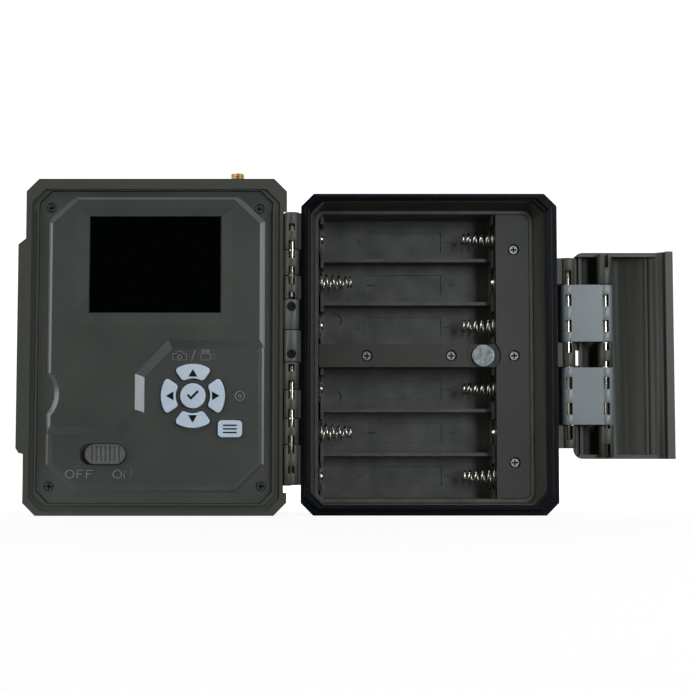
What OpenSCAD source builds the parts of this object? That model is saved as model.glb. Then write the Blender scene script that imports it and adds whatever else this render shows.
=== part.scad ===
// Trail camera, opened like a book: front case, rear case and draw latch.
// Places are measured in mm from the hinge axis (x, y) and the standing plane (z);
// x runs toward the rear case, y away from the viewer. place() moves all to the shared frame.

/* [Battery tray] */
// Length of the cells that the tray takes
cell_len = 50.5; // [49:0.5:54]
// Distance between neighbouring cells
cell_pitch = 15; // [14.8:0.1:16]
// Room for a spring and a stud beyond the cell length
spring_room = 9.1; // [8.6:0.1:11]
// Depth from the lip of the tray to its floor
bay_d = 16; // [15:0.5:18]
// Height of the ribs between the cells
rib_h = 9; // [6:0.5:10]
// Thickness of the ribs
rib_t = 1.2; // [1:0.1:1.6]
// Thickness of the outer walls of the tray
tray_wall = 1.2; // [1:0.1:1.6]
// Height of the wire cover bar
bar_h = 7.8; // [7.4:0.1:9]
// Width of the contact cover strip
strip_w = 11.4; // [10.6:0.1:13]
// Thickness of the two covers
cover_t = 2; // [1.8:0.1:2.4]
// Radius of the magnet disc
magnet_r = 3.85; // [3:0.05:3.85]
// Thickness of the contact plates
plate_t = 0.4; // [0.3:0.05:0.5]

/* [Battery springs] */
// Wire diameter
wire_d = 0.7; // [0.5:0.05:0.8]
// Free length
spring_len = 11.2; // [9:0.1:13]
// Radius of the wire line at the plate
spring_base_r = 3; // [2.6:0.1:3.4]
// Radius of the wire line at the tip
spring_tip_r = 1.7; // [1.4:0.1:2.2]
// Number of turns
spring_turns = 5; // [4:1:6]

/* [Rear case] */
// Gap from the hinge axis to the rear case
rear_gap = 3; // [3:0.1:3.6]
// Depth from the rim plane to the lip of the tray
lip_d = 9; // [8:0.5:11]
// Outer wall thickness of both cases
wall = 2.4; // [2:0.1:2.8]
// Thickness of the gasket on the rim
gasket_t = 1.6; // [1.2:0.1:2]
// Width of the sealing bead
bead_w = 1.2; // [1:0.1:1.4]
// Height of the strap bars behind the case
strap_bar_h = 7; // [6.6:0.1:10]
// Clear height of the strap slots
strap_slot_h = 27; // [20:1:30]
// Clear depth of the strap slots
strap_slot_d = 4.6; // [4.2:0.1:5]
// Thread core diameter of the tripod bush
bush_bore = 5.2; // [5:0.1:5.4]

/* [Front case] */
// Height of the front case above the rear one
hood_h = 4.9; // [4.4:0.1:6]
// Depth of the front case
front_d = 33; // [32:0.5:38]
// Thickness of the flange and of the strike on it
strike_t = 2.65; // [2.4:0.05:3]
// Reach of the strike beyond the flange
strike_reach = 2.5; // [2.3:0.1:2.8]

/* [Panel] */
// Width of the screen window
screen_w = 44.1; // [40:0.1:46]
// Height of the screen window
screen_h = 32.3; // [28:0.1:33]
// Radius of the centre key
ok_r = 4.2; // [3.8:0.1:4.4]
// Inner radius of the direction keys
pad_in_r = 5.8; // [5.7:0.1:6.2]
// Outer radius of the direction keys
pad_out_r = 10.7; // [9.6:0.1:10.9]
// Width of the menu key
menu_w = 8.1; // [7:0.1:8.4]
// Height of the menu key
menu_h = 5.7; // [5:0.1:6]
// How far a key goes in
key_travel = 0.8; // [0.5:0.1:0.9]
// Length of the power knob
knob_l = 13.4; // [11:0.1:13.6]
// Travel of the power knob
knob_travel = 1.8; // [1.4:0.1:2.2]

/* [Hinge] */
// Outer radius of the knuckles
hinge_r = 2.45; // [2.2:0.05:2.5]
// Radius of the hinge and latch pins
pin_r = 1; // [0.8:0.05:1.1]
// Distance from the middle of the battery tray down to the lowest knuckle
hinge_drop = 43.65; // [42.6:0.05:44]

/* [Latch] */
// Distance between the two pins of a link
link_len = 12.5; // [11.8:0.1:13]
// Width of each link along the pins
link_w = 19.4; // [17:0.1:20]
// Overlap of the flap's hook on the strike
hook_grip = 1.6; // [1.2:0.1:1.9]
// Thickness of the flap's skin
flap_t = 1.8; // [1.5:0.1:2]

/* [Infrared and lens] */
// Width of the infrared window
ir_w = 58.8; // [54:0.2:62]
// Height of the infrared window
ir_h = 28.8; // [26:0.2:30]
// Radius of the lens window
lens_r = 10.9; // [9:0.1:11.5]
// Radius of the diodes
diode_r = 2.5; // [2:0.1:2.6]
// Radius of the antenna jack's barrel
jack_r = 2.2; // [2:0.05:2.4]

/* [Hidden] */
$fn = 48;
// Clearances: fixed pieces, sliding pieces, pins that turn, and the two closed cases
fit = 0.15;
slide = 0.3;
run = 0.06;
shut = 0.15;
// Threads of the small screws, and the holes that they cut
screw_r = 0.8;
core_r = screw_r + 0.02;
boss_r = 2.65;

// Tray, from the hinge side to the latch side
tray_x0 = rear_gap + 4.5;
bay_x0 = tray_x0 + tray_wall + plate_t + 0.3;
bay_x1 = bay_x0 + cell_len + spring_room;
tray_x1 = bay_x1 + strip_w + tray_wall + fit;
tray_half = bar_h / 2 - 0.5 + 3 * cell_pitch;
tray_z0 = 4.05;
mid_z = tray_z0 + tray_wall + tray_half;
tray_z1 = mid_z + tray_half + tray_wall;
row_z = [for (i = [0:5]) mid_z + (i < 3 ? -1 : 1) * (bar_h / 2 - 0.5 + cell_pitch * (i < 3 ? 2.5 - i : i - 2.5))];
cell_y = lip_d + bay_d - 7.6;
floor_y = lip_d + bay_d;
tray_y1 = floor_y + 1.5;
wall_t = 1;
tray_round = 3.2;
spring_left = [1, 4];
spring_right = [0, 2, 3, 5];
cover_y = lip_d + 0.2;
plate_y = cover_y + cover_t + 2.6;
strip_x0 = bay_x1;
magnet_x = bay_x1 - 4.3;
magnet_y = cover_y - 0.3;
magnet_ring = 6;
ring_d = 0.9;
strip_screw_x = bay_x1 + 6.2;
bar_screws = [bay_x0 + 15.8, bay_x0 + 44.4];
strip_screw_z = [mid_z - 36.2, mid_z, mid_z + 36.2];

// Rear case
rear_x0 = rear_gap;
rear_x1 = tray_x1 + 7.2;
rear_h = tray_z1 + 4.55;
rear_d = tray_y1 + wall;
rim_y = shut + gasket_t;
mouth = [rear_x0 + 3.6, rear_x1 - 4.2, 3.8, rear_h - 2.8];
seal = [rear_x0 + 2, rear_x1 - 2.6, 2.4, rear_h - 1.4];
groove_w = bead_w + 0.7;
groove_d = 1;
bead_h = groove_d - 0.05;
cut = 4.2;
bush_x = (rear_x0 + rear_x1) / 2;
bush_out = rear_d + 2.6;
bush_r = 4.5;
strap_x = [rear_x0 + 15, rear_x1 - 20];
strap_bar_w = 5;
strap_bar_l = strap_slot_h + 26;

// Front case and panel
front_x0 = -(rear_x1 + 0.2);
front_x1 = -1.8;
hinge_x1 = -(hinge_r + 0.45);
front_h = rear_h + hood_h;
front_y1 = front_d;
panel = [-seal[1] + groove_w / 2 + 0.6, -seal[0] - groove_w / 2 - 0.6, seal[2] + groove_w / 2 + 0.8, seal[3] + 2.2];
panel_y = 2;
seat_y = 4.2;
top_y = 1;
key_y = 2;
platform = [panel[0] + 2.7, panel[1] - 2.5, panel[2] + 3.3, panel[3] - 1];
panel_mid = (panel[0] + panel[1]) / 2;
panel_screws = [[panel[0] + 3.7, panel[3] - 5.5], [panel[1] - 4.5, panel[3] - 5.9], [panel[0] + 4, panel[2] + 5.5], [panel[1] - 3.7, panel[2] + 5.5]];
screen_x = panel_mid - 0.2;
screen_z = panel[3] - 8.55 - screen_h / 2;
pad_c = [panel[1] - 26.4, panel[2] + 35.6];
menu_c = [pad_c[0] + 12.4, pad_c[1] - 11];
knob_c = [panel[0] + 21.9, panel[2] + 16.2];
knob_h = 6.6;
knob_rib = 1.5;
key_top = 0.8;
key_round = 1.2;
lens_c = [panel_mid, panel[2] + 53.6];
ir_c = [panel_mid, lens_c[1] + 29];
pir_c = [panel_mid, lens_c[1] - 28];
pir_w = 37;
pir_h = 27;
board_y = 9.6;
board_t = 1.6;
ir_y = front_y1 - 10.7;
board_posts = [for (x = [panel[0] + 7.4, panel[1] - 8.8], z = [panel[2] + 8, panel[3] - 19.85]) [x, z]];
jack_c = [panel[1] - 12.8, 15];
jack_z = front_h - 2.4;
jack_body = jack_r + 0.25;
nut_t = 2;
jack_free = 4.6;
inside_top = front_h - 2.2 - wall;

// Hinge knuckles from the bottom up; the rear case has the first, third, fifth ...
hinge_z = mid_z - hinge_drop;
hinge_len = [13.5, 8.7, 9.5, 9.2, 10.8, 10.2, 7.9, 8.7, 12.7];
function hinge_at(i) = i < 1 ? hinge_z : hinge_at(i - 1) + hinge_len[i - 1];
wire_rear = 4;
wire_front = 5;
play = 0.15;
web_y = 4.5;
shelf_y = hinge_r + 0.45;
window_w = 2.1;
window_l = 3;
bore_wire = 1.5;

// Latch, pins along z; the lugs and the links take turns
lug_l = 7.9;
lug_mid_l = 8.4;
latch_z0 = mid_z - lug_mid_l / 2 - link_w - lug_l;
latch_len = [lug_l, link_w, lug_mid_l, link_w, lug_l + 1.2];
function latch_at(i) = i < 1 ? latch_z0 : latch_at(i - 1) + latch_len[i - 1];
lug_x = rear_x1 + 3.8;
lug_y = 4.5;
lug_web = hinge_r + 1.95;
strike_x = front_x0 - strike_reach;
hook_tip = -strike_x - hook_grip - lug_x;
hook_in = lug_y + link_len + shut + strike_t + slide;
flap_z0 = latch_z0 - 3.4;
flap_z1 = latch_at(5) + 2;
flap_r = 22;
flap_c = [hook_in - 17.1, hook_tip - 10];
flap_left = -10.4;
flap_right = flap_c[0] + sqrt(flap_r * flap_r - pow(hook_tip - flap_c[1], 2));
lever_x = lug_x + link_len;

// Shared frame: middle of the box, on the standing plane
box_x = (strike_x + lever_x + flap_right) / 2;
pir_out = front_y1 + 4;
y_max = max(pir_out, rear_d + strap_bar_h);
box_y = (y_max - hinge_r) / 2;

// Colours
olive = [0.27, 0.28, 0.26];
charcoal = [0.2, 0.21, 0.21];
gasket_blue = [0.07, 0.08, 0.12];
link_grey = [0.5, 0.53, 0.55];
steel = [0.72, 0.72, 0.7];
brass = [0.75, 0.6, 0.3];
key_white = [0.88, 0.89, 0.88];
black = [0.03, 0.03, 0.035];
board_green = [0.08, 0.25, 0.14];

// A flat outline drawn in x and z, made thick from y0 to y1
module slab(y0, y1) {
    translate([0, y1, 0]) rotate([90, 0, 0]) linear_extrude(y1 - y0) children();
}

// Rectangle b = [x0, x1, z0, z1] grown by g, with corners cut off by c (x) and d (z)
module cut_rect(b, g, c, d) {
    x0 = b[0] - g;
    x1 = b[1] + g;
    z0 = b[2] - g;
    z1 = b[3] + g;
    polygon([[x0 + c, z0], [x1 - c, z0], [x1, z0 + d], [x1, z1 - d], [x1 - c, z1], [x0 + c, z1], [x0, z1 - d], [x0, z0 + d]]);
}

// Rectangle b grown by g with round corners
module round_rect(b, g, r) {
    x0 = b[0] - g;
    x1 = b[1] + g;
    z0 = b[2] - g;
    z1 = b[3] + g;
    translate([x0 + r, z0]) square([x1 - x0 - 2 * r, z1 - z0]);
    translate([x0, z0 + r]) square([x1 - x0, z1 - z0 - 2 * r]);
    for (x = [x0 + r, x1 - r], z = [z0 + r, z1 - r]) translate([x, z]) circle(r);
}

module box(b, y0, y1) {
    translate([b[0], y0, b[2]]) cube([b[1] - b[0], y1 - y0, b[3] - b[2]]);
}

// Round bar along y from y0 to y1 at c = [x, z]
module rod_y(c, r, y0, y1) {
    translate([c[0], y0, c[1]]) rotate([-90, 0, 0]) cylinder(r = r, h = y1 - y0);
}

module rod_z(c, r, z0, z1) {
    translate([c[0], c[1], z0]) cylinder(r = r, h = z1 - z0);
}

// Cross-head screw whose head starts at y and points along +y
module screw(c, y, head_r, head_h, shank_r, len) {
    difference() {
        union() {
            rod_y(c, head_r, y, y + head_h);
            rod_y(c, shank_r, y + head_h / 2, y + len);
        }
        for (a = [0, 90]) {
            translate([c[0], y, c[1]]) rotate([0, a, 0]) cube([head_r * 1.5, head_h, head_r * 0.36], center = true);
        }
    }
}

module seal_ring(b, w) {
    difference() {
        cut_rect(b, w / 2, cut, cut);
        cut_rect(b, -w / 2, cut - w * 0.4, cut - w * 0.4);
    }
}

function mirrored(b) = [-b[1], -b[0], b[2], b[3]];

// Hinge knuckles number n, with their webs toward side s (+1 rear, -1 front)
module knuckle(n, s) {
    z0 = hinge_at(n) + play;
    z1 = hinge_at(n + 1) - play;
    reach = s > 0 ? rear_x0 + 0.6 : -hinge_x1 + 0.6;
    rod_z([0, 0], hinge_r, z0, z1);
    translate([s > 0 ? 0 : -reach, rim_y, z0]) cube([reach, web_y - rim_y, z1 - z0]);
    translate([s > 0 ? 0 : -reach, 0.3, z0]) cube([s > 0 ? rear_x0 : reach, rim_y, z1 - z0]);
}

// Shelf of side s behind knuckle n of the other side, so that no gap shows there
module knuckle_shelf(n, s) {
    x0 = s > 0 ? slide : hinge_x1 - 0.6;
    x1 = s > 0 ? rear_x0 + 0.6 : -slide;
    box([x0, x1, hinge_at(n) - play, hinge_at(n + 1) + play], shelf_y, web_y);
}

// Bores and windows that show the pins in the knuckles of side s
module knuckle_cuts(s) {
    r = pin_r + (s > 0 ? 0.02 : run);
    rod_z([0, 0], r, hinge_at(0) + 0.8, hinge_at(4) - 0.6);
    rod_z([0, 0], r, hinge_at(6) + 0.6, hinge_at(9) - 0.8);
    edges = [hinge_at(1), hinge_at(2), hinge_at(3), hinge_at(7), hinge_at(8)];
    for (z = edges) box([-window_w / 2, window_w / 2, z - window_l, z + window_l], -hinge_r - 1, 0);
    single = [hinge_at(0) + 4, hinge_at(4) - window_l - 0.2, hinge_at(6) - 0.2, hinge_at(9) - window_l - 3.4];
    for (z = single) box([-window_w / 2, window_w / 2, z, z + window_l * 0.8], -hinge_r - 1, 0);
}

// Open half of a wire barrel, screw end given by top
module wire_trough_cut(n, top) {
    z0 = hinge_at(n);
    z1 = hinge_at(n + 1);
    box([-hinge_r - 1, hinge_r + 1, z0, z1], -hinge_r - 1, 0);
    rod_z([0, 0], bore_wire, top ? z0 : z0 + 4.6, top ? z1 - 4.6 : z1);
    rod_y([0, top ? z1 - 2.6 : z0 + 2.6], core_r, -0.1, 3);
}

module wire_cover_half(n, top) {
    z0 = hinge_at(n) + play;
    z1 = hinge_at(n + 1) - play;
    c = [0, top ? hinge_at(n + 1) - 2.6 : hinge_at(n) + 2.6];
    difference() {
        rod_z([0, 0], hinge_r, z0, z1);
        box([-hinge_r - 1, hinge_r + 1, z0 - 1, z1 + 1], 0, hinge_r + 1);
        rod_z([0, 0], bore_wire, top ? z0 - 1 : z0 + 4.6, top ? z1 - 4.6 : z1 + 1);
        rod_y(c, 1.55, -hinge_r - 1, -hinge_r + 1);
        rod_y(c, 0.9, -hinge_r, 1);
    }
}

module wire_cover_screw(n, top) {
    screw([0, top ? hinge_at(n + 1) - 2.6 : hinge_at(n) + 2.6], -hinge_r + 0.1, 1.45, 0.9, screw_r, hinge_r + 2.6);
}

module latch_lug(i) {
    z0 = latch_at(i) + play;
    z1 = latch_at(i + 1) - play;
    rod_z([lug_x, lug_y], hinge_r, z0, z1);
    translate([rear_x1 - 1.2, lug_y - 1.4, z0]) cube([lug_x - rear_x1 + 1.2, lug_web + 1.4, z1 - z0]);
}

module strap_bar(x) {
    z0 = mid_z - strap_bar_l / 2;
    y1 = rear_d + strap_bar_h;
    difference() {
        hull() {
            box([x, x + strap_bar_w, z0, z0 + strap_bar_l], rear_d - 0.5, rear_d);
            box([x, x + strap_bar_w, z0 + 4, z0 + strap_bar_l - 4], y1 - 0.1, y1);
        }
        box([x - 1, x + strap_bar_w + 1, mid_z - strap_slot_h / 2, mid_z + strap_slot_h / 2], rear_d, rear_d + strap_slot_d);
        for (k = [-4:4]) {
            translate([x - 1, y1, mid_z + k * 4.6]) rotate([45, 0, 0]) translate([0, -0.8, -0.8]) cube([strap_bar_w + 2, 1.6, 1.6]);
        }
    }
}

module rear_case() {
    outer = [rear_x0, rear_x1, 0, rear_h];
    pocket = [tray_x0, tray_x1, tray_z0, tray_z1];
    back = [rear_x0 + 1.2, rear_x1 - 1.2, 0, rear_h - 1.2];
    color(olive) difference() {
        union() {
            slab(rim_y, 7) cut_rect(outer, 0, cut, cut);
            hull() {
                slab(6.9, 7) cut_rect(outer, 0, cut, cut);
                slab(rear_d - 2.8, rear_d - 2.7) cut_rect(back, 0, cut, cut);
            }
            hull() {
                slab(rear_d - 2.8, rear_d - 2.7) cut_rect(back, 0, cut, cut);
                slab(rear_d - 0.1, rear_d) cut_rect(back, -2.8, cut, cut);
            }
            rod_y([bush_x, mid_z], bush_r + 3, rear_d - 1, bush_out);
            for (n = [0:2:8]) knuckle(n, 1);
            for (n = [1:2:7]) knuckle_shelf(n, 1);
            for (i = [0:2:4]) latch_lug(i);
            for (i = [1, 3]) box([rear_x1 - 1.2, lug_x - 0.6, latch_at(i) - play, latch_at(i + 1) + play], lug_y + hinge_r + 0.35, lug_y + lug_web);
            for (x = strap_x) strap_bar(x);
        }
        hull() {
            slab(rim_y - 0.2, rim_y) cut_rect(mouth, 0, cut, cut);
            slab(lip_d, lip_d + 0.1) round_rect(pocket, fit, tray_round);
        }
        slab(lip_d, tray_y1) round_rect(pocket, fit, tray_round);
        slab(rim_y - 1, rim_y + 1.6) seal_ring(seal, 1.1);
        rod_y([bush_x, mid_z], bush_r + 0.02, rear_d - wall + 0.6, bush_out + 1);
        knuckle_cuts(1);
        wire_trough_cut(wire_rear, false);
        rod_z([lug_x, lug_y], pin_r + 0.02, latch_at(0) + 0.8, latch_at(5) - 0.8);
        for (w = [[latch_at(1) - 4.8, 5], [latch_at(3) - 3.6, 4], [latch_at(4) - 0.2, 5]]) {
            box([lug_x - window_w / 2, lug_x + window_w / 2, w[0], w[0] + w[1]], lug_y - hinge_r - 1, lug_y);
        }
        box([-hinge_r - 1, rear_x0 - 0.01, hinge_at(wire_front) - 0.1, hinge_at(wire_front + 1) + 0.1], -hinge_r - 1, shelf_y - 0.05);
    }
}

module rim_gasket() {
    outer = [rear_x0, rear_x1, 0, rear_h];
    color(gasket_blue) {
        slab(shut, rim_y) difference() {
            cut_rect(outer, -fit, cut, cut);
            cut_rect(mouth, 0.2, cut, cut);
        }
        slab(shut - bead_h, shut + 0.1) seal_ring(seal, bead_w);
        slab(rim_y - 0.1, rim_y + 1.5) seal_ring(seal, 1);
    }
}

// Cut-out in an end wall of the tray, where a spring or stud passes
module bay_port(x, z) {
    box([x - 0.1, x + wall_t + 0.1, z - spring_base_r - 1.4, z + spring_base_r + 1.4], lip_d - 1, floor_y - 2);
}

module battery_tray() {
    outer = [tray_x0, tray_x1, tray_z0, tray_z1];
    inside = [tray_x0 + tray_wall, tray_x1 - tray_wall, tray_z0 + tray_wall, tray_z1 - tray_wall];
    left_x = bay_x0;
    right_x = bay_x1 - wall_t;
    bar_half = bar_h / 2 - 0.5;
    color(charcoal) difference() {
        union() {
            difference() {
                slab(lip_d, tray_y1) round_rect(outer, 0, tray_round);
                slab(lip_d - 1, floor_y) round_rect(inside, 0, tray_round - tray_wall + 0.6);
            }
            for (s = [-1, 1], k = [1, 2]) {
                z = mid_z + s * (bar_half + k * cell_pitch);
                box([left_x, bay_x1, z - rib_t / 2, z + rib_t / 2], floor_y - rib_h, floor_y + 0.1);
            }
            for (s = [-1, 1]) {
                z = mid_z + s * (bar_half - rib_t / 2);
                box([tray_x0 + 0.2, bay_x1, z - rib_t / 2, z + rib_t / 2], cover_y + cover_t, floor_y + 0.1);
            }
            for (x = [left_x, right_x]) {
                difference() {
                    box([x, x + wall_t, inside[2] - 0.1, inside[3] + 0.1], lip_d + 2.6, floor_y + 0.1);
                    for (z = row_z) bay_port(x, z);
                }
            }
            for (z = strip_screw_z) rod_y([strip_screw_x, z], 2.4, cover_y + cover_t, floor_y + 0.1);
            for (x = concat(bar_screws, [magnet_x])) {
                rod_y([x, mid_z], bar_half - rib_t + 0.4, cover_y + cover_t, floor_y + 0.1);
            }
        }
        for (z = strip_screw_z) rod_y([strip_screw_x, z], core_r, cover_y, cover_y + 9);
        for (x = bar_screws) rod_y([x, mid_z], core_r, cover_y, cover_y + 9);
        for (z = row_z) {
            box([bay_x0 + 16, bay_x0 + 42, z - 3.4, z + 3.4], floor_y - 0.01, floor_y + 0.4);
        }
        for (z = [row_z[2] - 2.5, row_z[3] + 2.5]) rod_y([bay_x0 + 5, z], 2.1, floor_y - 0.01, floor_y + 0.5);
    }
}

module contact_cover() {
    b = [strip_x0 + 0.1, tray_x1 - tray_wall - fit, tray_z0 + tray_wall + fit, tray_z1 - tray_wall - fit];
    color(charcoal) difference() {
        slab(cover_y, cover_y + cover_t) {
            round_rect(b, 0, tray_round - tray_wall + 0.4);
            translate([b[0], b[2]]) square([strip_w / 2, b[3] - b[2]]);
        }
        rod_y([magnet_x, mid_z], magnet_ring, cover_y - 1, cover_y + ring_d);
        for (z = strip_screw_z) {
            rod_y([strip_screw_x, z], 1.9, cover_y - 1, cover_y + 1.3);
            rod_y([strip_screw_x, z], 0.9, cover_y, cover_y + cover_t + 1);
        }
    }
}

module wire_cover() {
    b = [tray_x0 + tray_wall + fit, strip_x0, mid_z - bar_h / 2, mid_z + bar_h / 2];
    color(charcoal) difference() {
        box(b, cover_y, cover_y + cover_t);
        rod_y([magnet_x, mid_z], magnet_ring, cover_y - 1, cover_y + ring_d);
        for (x = bar_screws) {
            rod_y([x, mid_z], 1.9, cover_y - 1, cover_y + 1.3);
            rod_y([x, mid_z], 0.9, cover_y, cover_y + cover_t + 1);
        }
    }
}

module cover_screws() {
    color(steel) {
        for (z = strip_screw_z) screw([strip_screw_x, z], cover_y + 0.4, 1.4, 0.9, screw_r, 7);
        for (x = bar_screws) screw([x, mid_z], cover_y + 0.4, 1.4, 0.9, screw_r, 7);
    }
}

module closure_magnet() {
    color(steel) rod_y([magnet_x, mid_z], magnet_r, magnet_y, cover_y + ring_d);
}

// Line of a conical spring along +x from the plate: a straight start, then the turns
spring_steps = 8;
spring_start = 0.8;
spring_line = concat(
    [[0, spring_base_r, 0], [wire_d, spring_base_r, 0]],
    [for (i = [1:spring_turns * spring_steps])
        let (t = i / (spring_turns * spring_steps), r = spring_base_r + (spring_tip_r - spring_base_r) * t, a = 360 * i / spring_steps)
        [spring_start + wire_d / 2 + (spring_len - spring_start - wire_d) * t, r * cos(a), r * sin(a)]]);
spring_n = len(spring_line);
function unit(v) = v / norm(v);
function along(i) = unit(spring_line[min(i + 1, spring_n - 1)] - spring_line[max(i - 1, 0)]);
function outward(i) = unit([0, spring_line[i][1], spring_line[i][2]]);
function spring_ring(i) =
    let (t = i == 0 ? [1, 0, 0] : along(i), n = unit(outward(i) - t * (outward(i) * t)), b = cross(t, n))
    [for (k = [0:5]) spring_line[i] + wire_d / 2 * (cos(60 * k) * n + sin(60 * k) * b)];
spring_gap = min([for (i = [0:spring_n - 1], j = [0:spring_n - 1]) if (j - i >= 6) norm(spring_line[i] - spring_line[j])]) - wire_d;
echo("least gap of a battery spring to itself, mm:", spring_gap);

module battery_spring() {
    points = [for (i = [0:spring_n - 1]) each spring_ring(i)];
    sides = [for (i = [0:spring_n - 2], k = [0:5]) let (a = 6 * i + k, b = 6 * i + (k + 1) % 6) each [[a, a + 6, b], [b, a + 6, b + 6]]];
    last = 6 * (spring_n - 1);
    ends = [for (k = [1:4]) each [[0, k, k + 1], [last, last + k + 1, last + k]]];
    polyhedron(points, concat(sides, ends), convexity = 6);
}

module springs_hinge_end() {
    color(steel) for (i = spring_left) translate([bay_x0 - 0.3, cell_y, row_z[i]]) battery_spring();
}

module springs_latch_end() {
    color(steel) for (i = spring_right) translate([bay_x1 + 0.3, cell_y, row_z[i]]) mirror([1, 0, 0]) battery_spring();
}

// Pressed stud: a cone with a round top
module contact_stud() {
    cylinder(r1 = 3.2, r2 = 2.2, h = 0.3);
    intersection() {
        sphere(r = 1.6);
        cylinder(r = 3, h = 3);
    }
}

// Contact plate across the rows first to last, standing at x, with studs toward side s
module contact_plate(x, first, last, studs, s) {
    h = 4.8;
    box([x, x + plate_t, row_z[first] - h, row_z[last] + h], plate_y, floor_y);
    for (i = studs) {
        face = s > 0 ? x + plate_t : x;
        translate([face, cell_y, row_z[i]]) rotate([0, s * 90, 0]) contact_stud();
    }
}

module plates_hinge_end() {
    x = bay_x0 - 0.3 - plate_t;
    color(steel) {
        contact_plate(x, 0, 1, [0], 1);
        contact_plate(x, 2, 2, [2], 1);
        contact_plate(x, 3, 3, [3], 1);
        contact_plate(x, 4, 5, [5], 1);
    }
}

module plates_latch_end() {
    x = bay_x1 + 0.3;
    color(steel) {
        contact_plate(x, 0, 0, [], -1);
        contact_plate(x, 1, 2, [1], -1);
        contact_plate(x, 3, 4, [4], -1);
        contact_plate(x, 5, 5, [], -1);
    }
}

module tripod_bush() {
    color(brass) difference() {
        rod_y([bush_x, mid_z], bush_r, rear_d - wall + 0.6, bush_out);
        rod_y([bush_x, mid_z], bush_bore / 2, rear_d - wall + 1.6, bush_out + 1);
    }
}

module hinge_pin_upper() {
    color(steel) rod_z([0, 0], pin_r, hinge_at(6) + 0.8, hinge_at(9) - 1);
}

module hinge_pin_lower() {
    color(steel) rod_z([0, 0], pin_r, hinge_at(0) + 1, hinge_at(4) - 0.8);
}

module rear_barrel_cover() {
    color(olive) wire_cover_half(wire_rear, false);
}

module rear_barrel_screw() {
    color(black) wire_cover_screw(wire_rear, false);
}

module latch_case_pin() {
    color(steel) rod_z([lug_x, lug_y], pin_r, latch_at(0) + 1, latch_at(5) - 1);
}

module front_case() {
    outer = [front_x0, front_x1, 0, front_h];
    body = [front_x0 + 1, hinge_x1, 0, front_h - 1];
    face = [front_x0 + 2.2, hinge_x1 - 1, 0, front_h - 2.2];
    inside = [front_x0 + 1 + wall + 0.4, hinge_x1 - 1 - wall, wall, inside_top];
    seat = [panel[0] + 1.2, panel[1] - 1.2, panel[2] + 1.2, panel[3] - 1.2];
    win = [ir_c[0] - ir_w / 2, ir_c[0] + ir_w / 2, ir_c[1] - ir_h / 2, ir_c[1] + ir_h / 2];
    pir = [pir_c[0] - pir_w / 2, pir_c[0] + pir_w / 2, pir_c[1] - pir_h / 2, pir_c[1] + pir_h / 2];
    color(olive) difference() {
        union() {
            slab(shut, 3.9) cut_rect(outer, 0, cut, cut);
            hull() {
                slab(3.8, 3.9) cut_rect(body, 0, cut, cut);
                slab(front_y1 - 5, front_y1 - 4.9) cut_rect(face, 0, cut, cut);
            }
            hull() {
                slab(front_y1 - 5, front_y1 - 4.9) cut_rect(face, 0, cut, cut);
                slab(front_y1 - 0.1, front_y1) cut_rect(face, -4.6, cut, cut);
            }
            slab(shut, shut + strike_t) polygon([[front_x0 + 0.1, 20.4], [strike_x + 1, 20.8], [strike_x, 22.4],
                [strike_x, flap_z1 + 2.2], [front_x0 + 0.1, flap_z1 + 4.2]]);
            rod_y(lens_c, lens_r + 3, front_y1 - 0.5, front_y1 + 2);
        }
        difference() {
            union() {
                slab(5.4, 6) cut_rect(inside, 0, 3, 3);
                slab(5.9, front_y1 - 5) cut_rect(inside, 0, 3, 3);
                slab(front_y1 - 5.1, front_y1 - wall) cut_rect(inside, -3.4, 3, 3);
            }
            for (c = panel_screws) rod_y(c, boss_r, 3, front_y1);
            for (x = [win[0] + 3, win[1] - 3], z = [win[2] + 2.6, win[3] - 2.6]) rod_y([x, z], 1.75, ir_y + board_t, front_y1);
            for (c = board_posts) rod_y(c, 1.2, board_y + board_t, front_y1);
        }
        difference() {
            slab(seat_y - 0.1, 5.5) cut_rect(seat, 0, 3, 3);
            for (c = panel_screws) rod_y(c, boss_r, 3, 13);
        }
        slab(shut - 1, seat_y) cut_rect(panel, fit, 4, 4);
        for (c = panel_screws) rod_y(c, core_r, 3, 12);
        slab(shut - 1, shut + groove_d) seal_ring(mirrored(seal), groove_w);
        slab(shut - 1, shut + groove_d) intersection() {
            cut_rect([-seal[1] - groove_w / 2, -seal[0] + groove_w / 2, mid_z, panel[3] + 0.6], 0, 4.6, 4.6);
            translate([2 * front_x0, panel[3] - 5.2]) square([-2 * front_x0, 10]);
        }
        box([hinge_x1, 0.01, hinge_z - 2.5, hinge_at(9) + 0.8], shut - 1, front_y1);
        slab(front_y1 - 1.4, front_y1 + 3) cut_rect(win, fit, 3, 3);
        slab(front_y1 - 4, front_y1) cut_rect(win, -1.6, 2, 2);
        rod_y(lens_c, lens_r + fit, front_y1 - 1.4, front_y1 + 3);
        rod_y(lens_c, lens_r - 1.8, front_y1 - 4, front_y1);
        slab(front_y1 - 1.4, front_y1 + 3) cut_rect(pir, fit, 3, 3);
        slab(front_y1 - 4, front_y1) cut_rect(pir, -1.6, 2, 2);
        for (s = [-1, 1]) rod_y([lens_c[0] + s * 24, lens_c[1]], 2.5 + 0.02, front_y1 - 3, front_y1 + 1);
        rod_z(jack_c, jack_body + 0.05, front_h - 12, front_h + 2);
        rod_z(jack_c, 4.8, jack_z, front_h + 2);
    }
    color(olive) difference() {
        union() {
            for (n = [1:2:7]) knuckle(n, -1);
            for (n = [0:2:8]) knuckle_shelf(n, -1);
        }
        knuckle_cuts(-1);
        wire_trough_cut(wire_front, true);
    }
}

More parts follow.
